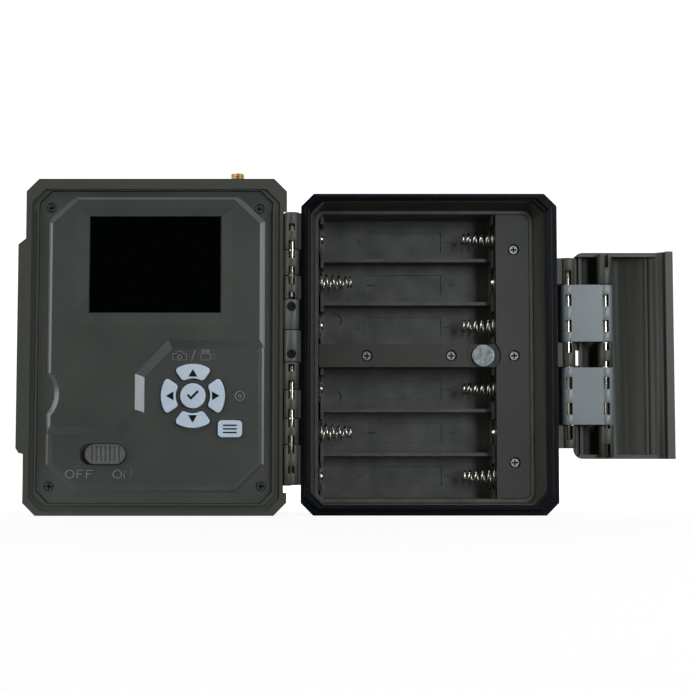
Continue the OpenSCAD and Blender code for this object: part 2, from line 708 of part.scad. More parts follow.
// Outline of the direction keys: the one that points along angle a, grown by g
module pad_outline(a, g) {
    half = 35;
    reach = pad_out_r * 2;
    intersection() {
        difference() {
            circle(pad_out_r + g);
            circle(pad_in_r - g);
        }
        rotate(a) translate([-g * 1.2, 0]) polygon([[0, 0], [reach, reach * tan(half)], [reach, -reach * tan(half)]]);
    }
}

// The same outline with round corners
module pad_key(a, g) {
    offset(r = key_round + g) offset(delta = -key_round) pad_outline(a, 0);
}

// Lower field of the panel at depth y: keys on the right, switch on the left; g widens its upper edge
module key_field(g) {
    x1 = platform[1] + 5;
    z0 = platform[2] - 5;
    xm = pad_c[0] - 16.3 - g;
    zt = pad_c[1] + 15.8 + g;
    polygon([[x1, z0], [x1, zt], [pad_c[0] - 7 - g * 0.45, zt], [xm, pad_c[1] + 6.2 + g * 0.4], [xm, z0]]);
}

// Field of the switch, in two parts: the low one and the one that rises to the keys
function switch_knee(g) = [pad_c[0] - 24 - g * 0.4, pad_c[1] - 13 + g];

module switch_field(g) {
    x0 = platform[0] - 5;
    z0 = platform[2] - 5;
    k = switch_knee(g);
    polygon([[x0, z0], [x0, k[1]], k, [k[0], z0]]);
}

module switch_rise(g) {
    z0 = platform[2] - 5;
    k = switch_knee(g);
    x1 = pad_c[0] - 16.2 - g * 0.8;
    z1 = pad_c[1] - 5.4 + g * 0.5;
    polygon([[k[0] - 0.1, z0], [k[0] - 0.1, k[1]], k, [x1, z1], [x1 + 12, z1], [x1 + 12, z0]]);
}

function stadium(c, l, h) = [c[0] - l / 2, c[0] + l / 2, c[1] - h / 2, c[1] + h / 2];

module inner_panel() {
    screen = [screen_x - screen_w / 2, screen_x + screen_w / 2, screen_z - screen_h / 2, screen_z + screen_h / 2];
    menu = stadium(menu_c, menu_w, menu_h);
    knob = stadium(knob_c, knob_l + knob_travel + 2 * slide, knob_h + 2 * slide);
    step = 3;
    edge = 1.75;
    slope = edge / (panel_y - top_y);
    color(olive) difference() {
        union() {
            slab(panel_y, seat_y) cut_rect(panel, 0, 4, 4);
            hull() {
                slab(panel_y, panel_y + 0.1) cut_rect(platform, 0, 9.6, 9.2);
                slab(top_y, top_y + 0.1) cut_rect(platform, -edge, 9.6 - 0.586 * edge, 9.2 - 0.586 * edge);
            }
            box([knob[0] - 1.4, knob[1] + 1.4, knob[2] - 1.4, knob[3] + 1.4], seat_y - 0.1, seat_y + 1);
        }
        hull() {
            slab(top_y - 0.2, top_y) key_field(step);
            slab(key_y - 0.05, key_y) key_field(0);
        }
        hull() {
            slab(top_y - 0.2, top_y) switch_field(step);
            slab(key_y - 0.05, key_y) switch_field(0);
        }
        hull() {
            slab(top_y - 0.2, top_y) switch_rise(step);
            slab(key_y - 0.05, key_y) switch_rise(0);
        }
        hull() {
            slab(top_y - 0.1, top_y) cut_rect([screen[0] - 4.6, screen[1] + 4, screen[2] - 4.8, screen[3] + 3], 0, 0.1, 0.1);
            slab(top_y + 0.55, top_y + 0.6) cut_rect(screen, 0, 0.1, 0.1);
        }
        translate([platform[0] - 6.3, top_y - 0.2, pad_c[1] + 0.6]) rotate([-90, 0, 0])
            cylinder(r1 = 9.1 + edge + 0.2 * slope, r2 = 9.1, h = panel_y - top_y + 0.2);
        slab(top_y - 1, seat_y + 1) cut_rect(screen, fit, 0.1, 0.1);
        for (a = [0:90:270]) slab(top_y - 1, seat_y + 1) translate(pad_c) pad_key(a, slide);
        rod_y(pad_c, ok_r + slide, top_y - 1, seat_y + 1);
        slab(top_y - 1, seat_y + 1) round_rect(menu, slide, 1.6);
        slab(top_y - 1, seat_y - 0.4) round_rect(knob, 0, knob_h / 2 + slide - 0.01);
        box(stadium(knob_c, 4 + knob_travel + 2 * slide, 2.6), seat_y - 1, seat_y + 2);
        for (c = panel_screws) {
            rod_y(c, 1.7, top_y - 1, panel_y + 1.1);
            rod_y(c, 0.9, panel_y, seat_y + 1);
        }
    }
}

module panel_fixings() {
    color(steel) for (c = panel_screws) screw(c, panel_y + 0.3, 1.4, 0.8, screw_r, 8);
}

module screen_window() {
    screen = [screen_x - screen_w / 2, screen_x + screen_w / 2, screen_z - screen_h / 2, screen_z + screen_h / 2];
    color(black) box(screen, top_y + 0.7, seat_y);
}

module display_module() {
    color(steel) box([screen_x - screen_w / 2 - 2.6, screen_x + screen_w / 2 + 2.6, screen_z - screen_h / 2 - 3.6, screen_z + screen_h / 2 + 2], seat_y, seat_y + 2.8);
}

// A key: its cap in the panel's hole, and a wider foot that holds it behind the panel
module key_body() {
    slab(key_top, seat_y + slide + 0.1) children(0);
    slab(seat_y + slide, seat_y + slide + 0.8) children(1);
}

module direction_key(a) {
    color(key_white) key_body() {
        translate(pad_c) pad_key(a, 0);
        translate(pad_c) pad_outline(a, 0.55);
    }
}

module key_up() {
    direction_key(90);
}

module key_down() {
    direction_key(270);
}

module key_left() {
    direction_key(180);
}

module key_right() {
    direction_key(0);
}

module key_centre() {
    color(key_white) key_body() {
        translate(pad_c) circle(ok_r);
        translate(pad_c) circle(ok_r + 0.5);
    }
}

module key_menu() {
    menu = stadium(menu_c, menu_w, menu_h);
    color(key_white) key_body() {
        round_rect(menu, 0, 1.4);
        round_rect(menu, 0.7, 1.4);
    }
}

key_foot = seat_y + slide + 0.8;
key_spots = concat([pad_c, menu_c], [for (a = [0:90:270]) pad_c + 8.2 * [cos(a), sin(a)]]);

module key_board() {
    y = key_foot + key_travel + 0.2;
    color(board_green) {
        box([pad_c[0] - 12, pad_c[0] + 17.5, pad_c[1] - 15, pad_c[1] + 12], y + 1.4, y + 2.4);
        for (x = [pad_c[0] - 10, pad_c[0] + 15], z = [pad_c[1] - 13, pad_c[1] + 10]) rod_y([x, z], 1, y + 2.3, board_y);
        for (c = key_spots) {
            rod_y(c, 1, y, y + 1.5);
            box(stadium(c, 4, 4), y + 0.5, y + 1.5);
        }
    }
}

module power_knob() {
    c = [knob_c[0] + knob_travel / 2, knob_c[1]];
    b = stadium(c, knob_l, knob_h);
    color(charcoal) {
        difference() {
            slab(top_y, seat_y - 0.4 - slide) round_rect(b, 0, knob_h / 2 - 0.01);
            for (k = [-3:3]) {
                translate([c[0] + k * knob_rib, top_y, c[1]]) rotate([0, 0, 45]) cube([0.95, 0.95, 5], center = true);
            }
        }
        box(stadium(c, 4, 2), seat_y - 1, 6.4);
    }
}

module slide_switch() {
    color(steel) difference() {
        box(stadium(knob_c, 11, 5.4), 5.4, board_y);
        box(stadium(knob_c, 4 + knob_travel + 2 * slide, 2.6), 5, 7);
    }
}

module main_board() {
    color(board_green) slab(board_y, board_y + board_t) difference() {
        cut_rect([panel[0] + 4, panel[1] - 5, panel[2] + 3, panel[3] - 13.85], 0, 5, 8);
        for (c = panel_screws) translate(c) circle(boss_r + fit);
    }
}

module board_parts() {
    y = board_y + board_t;
    color(black) {
        box([lens_c[0] - 32, lens_c[0] - 14, lens_c[1] - 4, lens_c[1] + 20], y, y + 2.4);
        box([lens_c[0] + 14, lens_c[0] + 28, lens_c[1] - 8, lens_c[1] + 6], y, y + 1.4);
        box([lens_c[0] - 34, lens_c[0] - 18, pir_c[1] - 14, pir_c[1] + 12], y, y + 2.8);
        box([lens_c[0] + 16, lens_c[0] + 30, pir_c[1] - 12, pir_c[1] + 4], y, y + 2);
    }
}

module lens_holder() {
    y = board_y + board_t;
    color(black) difference() {
        box(stadium(lens_c, 18, 18), y, y + 6);
        rod_y(lens_c, 6.02, y + 2, y + 7);
    }
}

module lens_barrel() {
    y = board_y + board_t + 2;
    color(black) difference() {
        union() {
            rod_y(lens_c, 6, y, y + 12);
            rod_y(lens_c, 7, y + 9, y + 15);
        }
        translate([lens_c[0], y + 13, lens_c[1]]) rotate([-90, 0, 0]) cylinder(r1 = 2.6, r2 = 6, h = 2.1);
    }
}

module lens_window() {
    color(black) rod_y(lens_c, lens_r, front_y1 - 1.4, front_y1);
}

module infrared_board() {
    color(board_green) box([ir_c[0] - ir_w / 2 + 1, ir_c[0] + ir_w / 2 - 1, ir_c[1] - ir_h / 2 + 1, ir_c[1] + ir_h / 2 - 1], ir_y, ir_y + board_t);
}

module infrared_diodes() {
    color(key_white) for (i = [-2.5:2.5], k = [-1:1]) {
        c = [ir_c[0] + i * 7.6, ir_c[1] + k * 7.6];
        rod_y(c, diode_r, ir_y + board_t, front_y1 - 5);
        translate([c[0], front_y1 - 5, c[1]]) sphere(r = diode_r);
    }
}

module infrared_window() {
    win = [ir_c[0] - ir_w / 2, ir_c[0] + ir_w / 2, ir_c[1] - ir_h / 2, ir_c[1] + ir_h / 2];
    color(black) slab(front_y1 - 1.4, front_y1) cut_rect(win, 0, 3, 3);
}

module motion_sensor() {
    y = board_y + board_t;
    color(steel) {
        rod_y(pir_c, 4, y, y + 8);
        rod_y(pir_c, 4.9, y + 8, y + 8.6);
        rod_y(pir_c, 4.55, y + 8, y + 12);
    }
}

// Bowed lens in front of the motion sensor, hollow behind
module motion_lens() {
    pir = [pir_c[0] - pir_w / 2, pir_c[0] + pir_w / 2, pir_c[1] - pir_h / 2, pir_c[1] + pir_h / 2];
    bow = 34;
    color(key_white) difference() {
        union() {
            slab(front_y1 - 1.4, front_y1) cut_rect(pir, 0, 3, 3);
            intersection() {
                rod_z([pir_c[0], pir_out - bow], bow, pir[2] + 1.6, pir[3] - 1.6);
                slab(front_y1 - 1.4, pir_out + 1) cut_rect(pir, -1.6, 2.4, 2.4);
            }
        }
        intersection() {
            rod_z([pir_c[0], pir_out - bow], bow - 1, pir[2] + 2.8, pir[3] - 2.8);
            slab(front_y1 - 2, pir_out + 1) cut_rect(pir, -2.8, 2, 2);
        }
    }
}

module indicator_windows() {
    color(black) for (s = [-1, 1]) rod_y([lens_c[0] + s * 24, lens_c[1]], 2.5, front_y1 - 2.4, front_y1 + 0.2);
}

module antenna_jack() {
    color(brass) difference() {
        union() {
            rod_z(jack_c, jack_r, jack_z, jack_z + nut_t + jack_free);
            rod_z(jack_c, jack_body, jack_z - 9, jack_z + nut_t);
            rod_z(jack_c, jack_r + 1.4, jack_z - 9, inside_top);
        }
        rod_z(jack_c, jack_r - 0.7, jack_z + nut_t + 1, jack_z + nut_t + jack_free + 1);
    }
}

module jack_nut() {
    color(brass) difference() {
        translate([jack_c[0], jack_c[1], jack_z]) cylinder(r = 4, h = nut_t, $fn = 6);
        rod_z(jack_c, jack_body + 0.02, jack_z - 1, jack_z + nut_t + 1);
    }
}

module front_barrel_cover() {
    color(olive) wire_cover_half(wire_front, true);
}

module front_barrel_screw() {
    color(black) wire_cover_screw(wire_front, true);
}

// Link plate number i, with its two bored ends and the windows that show the pins
module link_plate(i) {
    z0 = latch_at(i) + play;
    z1 = latch_at(i + 1) - play;
    color(link_grey) difference() {
        union() {
            for (x = [lug_x, lever_x]) rod_z([x, lug_y], hinge_r, z0, z1);
            translate([lug_x, lug_y - hinge_r + 0.25, z0]) cube([link_len, hinge_r, z1 - z0]);
        }
        for (x = [lug_x, lever_x]) {
            rod_z([x, lug_y], pin_r + run, z0 - 1, z1 + 1);
            for (k = [0.17, 0.62]) {
                zw = z0 + k * (z1 - z0);
                box([x - window_w / 2, x + window_w / 2, zw, zw + 4], lug_y - hinge_r - 1, lug_y);
            }
        }
    }
}

module link_lower() {
    link_plate(1);
}

module link_upper() {
    link_plate(3);
}

module flap_disc(r) {
    translate(flap_c) circle(r, $fn = 160);
}

// Curved skin of the flap with its hook, seen along the pins; the lever pin is at the origin
module flap_skin() {
    difference() {
        intersection() {
            flap_disc(flap_r);
            translate([flap_left, hook_tip]) square([flap_right - flap_left + 1, 30]);
        }
        difference() {
            flap_disc(flap_r - flap_t);
            intersection() {
                difference() {
                    flap_disc(flap_r);
                    flap_disc(flap_r - flap_t - 0.7);
                }
                translate([hook_in - 6.1, 0]) square([0.9, 20]);
            }
            translate([hook_in, hook_tip]) square([4, 3.4]);
        }
        translate([hook_in - 40, hook_tip - 1]) square([40, 3]);
    }
}

module flap_rib(x0, x1, y0) {
    intersection() {
        flap_disc(flap_r - 0.5);
        translate([x0, y0]) square([x1 - x0, 20]);
    }
}

module latch_flap() {
    zones = [[flap_z0 + 0.8, latch_at(1) - play], [latch_at(2) + play, latch_at(3) - play], [latch_at(4) + play, flap_z1 - 0.8]];
    round_r = 3.4;
    color(olive) translate([lever_x, lug_y, 0]) difference() {
        intersection() {
            union() {
                translate([0, 0, flap_z0]) linear_extrude(flap_z1 - flap_z0) {
                    flap_skin();
                    flap_rib(0.4, 2.2, hinge_r + 1.1);
                    flap_rib(-8.2, -7.2, hinge_r + 0.8);
                    flap_rib(flap_left, flap_left + 1.2, hinge_r + 0.4);
                }
                for (z = zones) translate([0, 0, z[0]]) linear_extrude(z[1] - z[0]) {
                    circle(hinge_r);
                    flap_rib(-0.6, 2.2, 0);
                }
                for (z = [flap_z0, flap_z1 - 1.4]) translate([0, 0, z]) linear_extrude(1.4) intersection() {
                    flap_disc(flap_r);
                    translate([-9, 1.2]) square([hook_in + 7, 20]);
                }
            }
            slab(-10, 30) {
                translate([flap_left + round_r, flap_z0]) square([2 * flap_r, flap_z1 - flap_z0]);
                translate([flap_left, flap_z0 + round_r]) square([2 * flap_r, flap_z1 - flap_z0 - 2 * round_r]);
                for (z = [flap_z0 + round_r, flap_z1 - round_r]) translate([flap_left + round_r, z]) circle(round_r);
            }
        }
        rod_z([0, 0], pin_r + 0.02, flap_z0 - 1, flap_z1 - 5.2);
        for (w = [[flap_z0 - 1, flap_z0 + 5], [latch_at(1) - 1.2, latch_at(1)], [latch_at(2), latch_at(2) + 2.1],
            [latch_at(3) - 2.8, latch_at(3)], [flap_z1 - 5.4, flap_z1 + 1]]) {
            box([-window_w / 2, window_w / 2, w[0], w[1]], -hinge_r - 1, 0);
        }
        box([flap_left + 0.6, -8.2, mid_z - 3.4, mid_z + 1.8], -5, 20);
    }
}

module latch_lever_pin() {
    color(steel) rod_z([lever_x, lug_y], pin_r, flap_z0 + 1, flap_z1 - 5.4);
}

module place() {
    translate([-box_x, -box_y, 0]) children();
}

place() rear_case();
place() rim_gasket();
place() battery_tray();
place() contact_cover();
place() wire_cover();
place() cover_screws();
place() closure_magnet();
place() springs_hinge_end();
place() springs_latch_end();
place() plates_hinge_end();
place() plates_latch_end();
place() tripod_bush();
place() hinge_pin_upper();
place() hinge_pin_lower();
place() rear_barrel_cover();
place() rear_barrel_screw();
place() latch_case_pin();
place() front_case();
place() inner_panel();
place() panel_fixings();
place() screen_window();
place() display_module();
place() key_up();
place() key_down();
place() key_left();
place() key_right();
place() key_centre();
place() key_menu();
place() key_board();
place() power_knob();
place() slide_switch();
place() main_board();
place() board_parts();
place() lens_holder();
place() lens_barrel();
place() lens_window();
place() infrared_board();
place() infrared_diodes();
place() infrared_window();
place() motion_sensor();
place() motion_lens();
place() indicator_windows();
place() antenna_jack();
place() jack_nut();
place() front_barrel_cover();
place() front_barrel_screw();
place() link_upper();
place() link_lower();
place() latch_flap();
place() latch_lever_pin();
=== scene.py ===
# %% [markdown]
# # A trail camera, opened like a book
# The real camera is two moulded half cases on a pinned hinge, with a draw latch at the free
# side. The left half holds the screen, the keys and the electronics, the right half the battery
# tray. The solids come ready made and placed, so this lesson gives them their finishes and adds
# what is too fine or too soft for them: wound springs, legends, threads and lens facets.

# %% Frame
import math

import bmesh
import bpy
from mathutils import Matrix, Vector


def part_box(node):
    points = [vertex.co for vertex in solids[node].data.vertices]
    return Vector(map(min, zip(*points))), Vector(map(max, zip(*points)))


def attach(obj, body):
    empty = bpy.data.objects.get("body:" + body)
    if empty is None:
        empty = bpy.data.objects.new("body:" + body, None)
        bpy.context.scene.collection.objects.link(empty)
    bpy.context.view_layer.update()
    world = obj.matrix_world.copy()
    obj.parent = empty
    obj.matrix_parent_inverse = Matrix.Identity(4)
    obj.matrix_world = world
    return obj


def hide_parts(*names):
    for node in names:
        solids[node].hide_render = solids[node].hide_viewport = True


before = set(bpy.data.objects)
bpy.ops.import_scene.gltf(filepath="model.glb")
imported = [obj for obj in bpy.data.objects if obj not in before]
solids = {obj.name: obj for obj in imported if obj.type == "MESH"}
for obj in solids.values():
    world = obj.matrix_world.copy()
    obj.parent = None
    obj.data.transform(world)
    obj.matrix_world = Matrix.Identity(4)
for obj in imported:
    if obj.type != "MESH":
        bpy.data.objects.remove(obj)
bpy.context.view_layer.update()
MM = 0.001


# %% [markdown]
# Three small helpers serve all that follows. Colours are written as sRGB hex values, the way a
# paint chip is read, and turned to the linear values that a shader works in. One function adds a
# shader node with its settings and links. The third gives the middle of a solid.

# %% Helpers
def linear(code):
    parts = [int(code[i : i + 2], 16) / 255 for i in (1, 3, 5)]
    curve = [c / 12.92 if c <= 0.04045 else ((c + 0.055) / 1.055) ** 2.4 for c in parts]
    return (*curve, 1.0)


def add(tree, kind, links=None, **settings):
    node = tree.nodes.new("ShaderNode" + kind)
    for key, value in settings.items():
        setattr(node, key, value)
    for key, value in (links or {}).items():
        if isinstance(value, bpy.types.NodeSocket):
            tree.links.new(value, node.inputs[key])
        else:
            node.inputs[key].default_value = value
    return node


def middle(node):
    low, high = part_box(node)
    return (low + high) / 2


print("olive grey in linear light:", [round(c, 3) for c in linear("#3f4340")[:3]])

# %% [markdown]
# The photograph looks straight at the open camera from half a metre, a little below its middle,
# so that the far ends of the walls show on all sides. A lens of about twice the normal length
# gives that view. The values come from lining up the hinge, the rims and the bay floors.

# %% Camera
PHOTO_PIXELS = 691
FOCAL_PIXELS = 1500
SENSOR = 36.0
STAND = (-0.165, -516.06, 21.62)
LOOK_UP = 4.0
lens = bpy.data.cameras.new("photo_view")
lens.sensor_width = SENSOR
lens.lens = SENSOR * FOCAL_PIXELS / PHOTO_PIXELS
lens.clip_start = 0.01
viewer = bpy.data.objects.new("photo_view", lens)
viewer.location = [c * MM for c in STAND]
viewer.rotation_euler = (math.radians(90 + LOOK_UP), 0, 0)
scene = bpy.context.scene
scene.collection.objects.link(viewer)
scene.camera = viewer
print("lens of", round(lens.lens, 1), "mm")

# %% [markdown]
# A photographer lights such a dark thing from the sides and from above. A big softbox overhead and
# two broad ones at the sides give the even light. The others are there to be mirrored: a tall one at
# the right by the sloped step of the panel, and two low strips by the slopes along its sides. One
# stands behind the object, for its back. None stands behind the camera, so that the black screen
# mirrors an unlit room.

# %% Lights
scene.view_settings.view_transform = "Standard"
AIM = Vector((0.0, 0.0, 0.055))


def softbox(name, place, width, height, power, tint):
    lamp = bpy.data.lights.new(name, "AREA")
    lamp.shape = "RECTANGLE"
    lamp.size, lamp.size_y = width, height
    lamp.energy = power
    lamp.color = linear(tint)[:3]
    box = bpy.data.objects.new(name, lamp)
    box.location = place
    box.rotation_euler = (AIM - Vector(place)).to_track_quat("-Z", "Y").to_euler()
    scene.collection.objects.link(box)


softbox("tall_box_right", (0.41, -0.80, 0.2), 0.22, 0.4, 3.7, "#f0f6ff")
softbox("box_right", (0.95, -0.75, 0.35), 0.6, 0.9, 3.6, "#fffdf6")
softbox("box_left", (-0.95, -0.75, 0.35), 0.6, 0.9, 3.0, "#fffdf6")
softbox("box_above", (0.0, -0.35, 1.25), 1.4, 0.9, 8.0, "#fffdf6")
softbox("strip_left", (-0.9, -0.29, 0.15), 0.3, 0.6, 2.2, "#f4f8ff")
softbox("strip_right", (0.88, -0.58, 0.15), 0.3, 0.6, 1.3, "#f4f8ff")
softbox("box_behind", (0.1, 1.0, 0.9), 1.2, 0.8, 4.0, "#ffffff")
world = bpy.data.worlds.new("dim_room")
world.use_nodes = True
room = world.node_tree.nodes["Background"].inputs
room["Color"].default_value = linear("#f2f2ee")
room["Strength"].default_value = 0.06
scene.world = world
print(len(bpy.data.lights), "softboxes and a dim room")

# %% [markdown]
# The floor and the backdrop are one white sheet, laid as a wide bowl so that it closes the view from
# every side. A flat floor with one wall would do for this view alone, but the object is also looked
# at from behind. The bowl is a profile of a floor, a bend and a wall, spun round the upright axis.

# %% Sheet
SHEET_FLAT, SHEET_BEND, SHEET_TOP = 1.7, 0.5, 2.2
SHEET_SIDES, BEND_STEPS = 64, 12
profile = [(0.0, 0.0), (SHEET_FLAT, 0.0)]
for i in range(1, BEND_STEPS + 1):
    turn = math.radians(90 * i / BEND_STEPS)
    profile.append((SHEET_FLAT + SHEET_BEND * math.sin(turn), SHEET_BEND * (1 - math.cos(turn))))
profile.append((SHEET_FLAT + SHEET_BEND, SHEET_TOP))
bowl = bmesh.new()
line = [bowl.verts.new((r, 0, z)) for r, z in profile]
edges = [bowl.edges.new(pair) for pair in zip(line, line[1:])]
bmesh.ops.spin(
    bowl,
    geom=line + edges,
    cent=(0, 0, 0),
    axis=(0, 0, 1),
    angle=2 * math.pi,
    steps=SHEET_SIDES,
    use_merge=True,
)
bmesh.ops.remove_doubles(bowl, verts=bowl.verts, dist=1e-5)
bmesh.ops.recalc_face_normals(bowl, faces=bowl.faces)
sheet_mesh = bpy.data.meshes.new("white_sheet")
bowl.to_mesh(sheet_mesh)
bowl.free()
sheet = bpy.data.objects.new("white_sheet", sheet_mesh)
scene.collection.objects.link(sheet)
print("sheet of", len(sheet_mesh.polygons), "faces")

# %% [markdown]
# The sheet is matt card, white in its far half and grey in its near one. Where the camera stands it
# is dark, because a black screen must not mirror a white wall.

# %% Card of the sheet
card = bpy.data.materials.new("matt_card")
card.use_nodes = True
tree = card.node_tree
face = tree.nodes["Principled BSDF"]
face.inputs["Roughness"].default_value = 0.9
face.inputs["Specular IOR Level"].default_value = 0.1
spot = add(tree, "TexCoord").outputs["Object"]
axes = add(tree, "SeparateXYZ", {0: spot}).outputs
far = add(tree, "MapRange", {0: axes["Y"], 1: 0.0, 2: 0.15}).outputs[0]
near = add(tree, "MapRange", {0: axes["Y"], 1: -0.9, 2: -0.5}).outputs[0]
front = add(tree, "Mix", {0: near, 6: linear("#2a2a2a"), 7: linear("#4c4c4c")}, data_type="RGBA").outputs[2]
paint = add(tree, "Mix", {0: far, 6: front, 7: linear("#f2f2f2")}, data_type="RGBA").outputs[2]
tree.links.new(paint, face.inputs["Base Color"])
sheet_mesh.materials.append(card)
print("card with a roughness of", round(face.inputs["Roughness"].default_value, 2))

# %% [markdown]
# To the camera the sheet glows white. Metal and glass see that glow in its far half, at its left and
# on one patch close in front, which the slanting steps mirror. For all other light it is plain card,
# so the shadow under the cases stays.

# %% Glow of the sheet
GLOW = 0.9
PATCH_EDGES = (("Y", -0.095, -0.115), ("Y", -0.24, -0.22), ("X", -0.05, -0.03), ("X", 0.09, 0.07))
lean = add(tree, "VectorMath", {0: spot, 1: (-1.0, 0.5, 0.0)}, operation="DOT_PRODUCT").outputs["Value"]
left = add(tree, "MapRange", {0: lean, 1: 0.03, 2: 0.13}).outputs[0]
white = add(tree, "Math", {0: far, 1: left}, operation="MAXIMUM").outputs[0]
patch = 1.0
for axis, outside, inside in PATCH_EDGES:
    edge = add(tree, "MapRange", {0: axes[axis], 1: outside, 2: inside}).outputs[0]
    patch = add(tree, "Math", {0: patch, 1: edge}, operation="MULTIPLY").outputs[0]
white = add(tree, "Math", {0: white, 1: patch}, operation="MAXIMUM").outputs[0]
rays = add(tree, "LightPath").outputs
mirrored = add(tree, "Math", {0: rays["Is Glossy Ray"], 1: rays["Is Transmission Ray"]}, operation="MAXIMUM")
shown = add(tree, "Math", {0: mirrored.outputs[0], 1: white}, operation="MULTIPLY").outputs[0]
seen = add(tree, "Math", {0: rays["Is Camera Ray"], 1: shown}, operation="MAXIMUM").outputs[0]
glow = add(tree, "Math", {0: seen, 1: GLOW}, operation="MULTIPLY").outputs[0]
face.inputs["Emission Color"].default_value = (1, 1, 1, 1)
tree.links.new(glow, face.inputs["Emission Strength"])
print("glow of", GLOW, "with a patch of", len(PATCH_EDGES), "edges")


# %% [markdown]
# Most of the camera is ABS, moulded in tools that were spark-eroded to a fine matt grain. The eye
# reads that as a soft broken sheen with tiny bright points. The real pits are near 0.1 mm, too fine
# for the picture, so they are drawn four to eight times as coarse. A slow cloud of tone keeps large
# faces from looking like paper. In the dusty tray that cloud is smaller and stronger.

# %% Moulded plastics
def start(name, colour, **sockets):
    finish = bpy.data.materials.new(name)
    finish.use_nodes = True
    skin = finish.node_tree.nodes["Principled BSDF"]
    skin.inputs["Base Color"].default_value = linear(colour)
    for key, value in sockets.items():
        skin.inputs[key.replace("_", " ")].default_value = value
    return finish, finish.node_tree, skin


def moulded(name, dark, light, rough, grain_mm, depth_mm, cloud_mm=22, **sockets):
    finish, tree, skin = start(name, dark, **{"IOR": 1.53, **sockets})
    spot = add(tree, "TexCoord").outputs["Object"]
    pits = add(tree, "TexNoise", {"Vector": spot, "Scale": 1 / (grain_mm * MM), "Detail": 3.0}).outputs[0]
    cloud = add(tree, "TexNoise", {"Vector": spot, "Scale": 1 / (cloud_mm * MM), "Detail": 4.0}).outputs[0]
    tone = add(tree, "MapRange", {0: cloud, 1: 0.3, 2: 0.7}).outputs[0]
    speck = add(tree, "MapRange", {0: pits, 1: 0.25, 2: 0.75, 3: -0.25, 4: 0.25}).outputs[0]
    blend = add(tree, "Math", {0: tone, 1: speck}, operation="ADD", use_clamp=True).outputs[0]
    colour = add(tree, "Mix", {0: blend, 6: linear(dark), 7: linear(light)}, data_type="RGBA")
    tree.links.new(colour.outputs[2], skin.inputs["Base Color"])
    gloss = add(tree, "MapRange", {0: pits, 1: 0.2, 2: 0.8, 3: rough - 0.03, 4: rough + 0.04})
    tree.links.new(gloss.outputs[0], skin.inputs["Roughness"])
    dent = add(tree, "Bump", {"Height": pits, "Strength": 0.5, "Distance": depth_mm * MM})
    tree.links.new(dent.outputs[0], skin.inputs["Normal"])
    return finish


abs_panel = moulded("abs_olive_spark_eroded", "#3f423e", "#484b47", 0.25, 0.45, 0.01)
abs_matt = moulded("abs_olive_matt", "#3d403c", "#464945", 0.5, 0.5, 0.015)
# tray and covers are one charcoal plastic in two copies: the tray lighter as painted light on its shaded
# floors, the covers darker as painted shade
abs_tray = moulded("abs_charcoal_moulded", "#2f2f2c", "#454541", 0.42, 0.6, 0.02, 7, Specular_IOR_Level=0.4)
abs_cover = moulded("abs_charcoal_cover_painted_shade", "#2a2925", "#34322e", 0.42, 0.6, 0.015, Specular_IOR_Level=0.3)
abs_black = moulded("abs_black_moulded", "#131415", "#1d1e1f", 0.4, 0.5, 0.03)
abs_knob = moulded("abs_charcoal_knob", "#545654", "#616361", 0.28, 0.5, 0.02)
# the raised legends and knob chevrons are lighter than the panel and knob: a painted highlight on their
# strokes
abs_legend = moulded("abs_olive_painted_highlight", "#666a63", "#747871", 0.3, 0.4, 0.01)
acetal = moulded("acetal_blue_grey", "#687072", "#737b7d", 0.36, 0.8, 0.01)
seal_sockets = {"IOR": 1.41, "Specular_IOR_Level": 0.18}
silicone_seal = moulded("silicone_blue_black", "#080a0e", "#0d1015", 0.24, 1.2, 0.004, **seal_sockets)
print("nine plastics")


# %% [markdown]
# Outside, the cases and the latch flap carry a printed camouflage film: soft blotches of bark
# brown, moss and straw, 8 to 30 mm across, over olive. Each tint is a cloud of noise, cut off hard.

# %% Printed film
BLOTCHES = (  # tint, size in mm, where the noise is cut from, share left uncovered
    ("#5f5844", 21, 3.0, 0.53),
    ("#34382a", 17, 11.0, 0.52),
    ("#2a251d", 12, 23.0, 0.56),
    ("#82775c", 9, 37.0, 0.62),
)


def printed_film(tree, spot):
    colour = linear("#464838")
    for tint, size_mm, seed, low in BLOTCHES:
        moved = add(tree, "VectorMath", {0: spot, 1: (seed, seed * 0.7, -seed)}, operation="ADD").outputs[0]
        scale = 1 / (size_mm * MM)
        blot = add(tree, "TexNoise", {"Vector": moved, "Scale": scale, "Detail": 2.5, "Distortion": 0.7})
        edge = add(tree, "MapRange", {0: blot.outputs[0], 1: low, 2: low + 0.025}).outputs[0]
        colour = add(tree, "Mix", {0: edge, 6: colour, 7: linear(tint)}, data_type="RGBA").outputs[2]
    return colour


print(len(BLOTCHES), "tints over olive")


# %% [markdown]
# The film ends at the rims, and the inside is bare ABS. Faces that look outward are told from those
# that look inward, so one finish serves a whole moulding. On the front case and the flap the lean of
# the face tells them. The rear case is a deep tray, so there a face is outside if it looks away from
# the middle or lies at the back.

# %% Camouflage on the outside
def looks_away(tree, spot, normal, depth, centre, back):
    arm = add(tree, "VectorMath", {0: spot, 1: centre}, operation="SUBTRACT").outputs[0]
    flat_arm = add(tree, "VectorMath", {0: arm, 1: (1, 0, 1)}, operation="MULTIPLY").outputs[0]
    facing = add(tree, "VectorMath", {0: flat_arm, 1: normal}, operation="DOT_PRODUCT").outputs["Value"]
    side = add(tree, "MapRange", {0: facing, 1: 4 * MM, 2: 8 * MM}).outputs[0]
    rear = add(tree, "MapRange", {0: depth, 1: back - 2 * MM, 2: back}).outputs[0]
    return add(tree, "Math", {0: side, 1: rear}, operation="MAXIMUM").outputs[0]


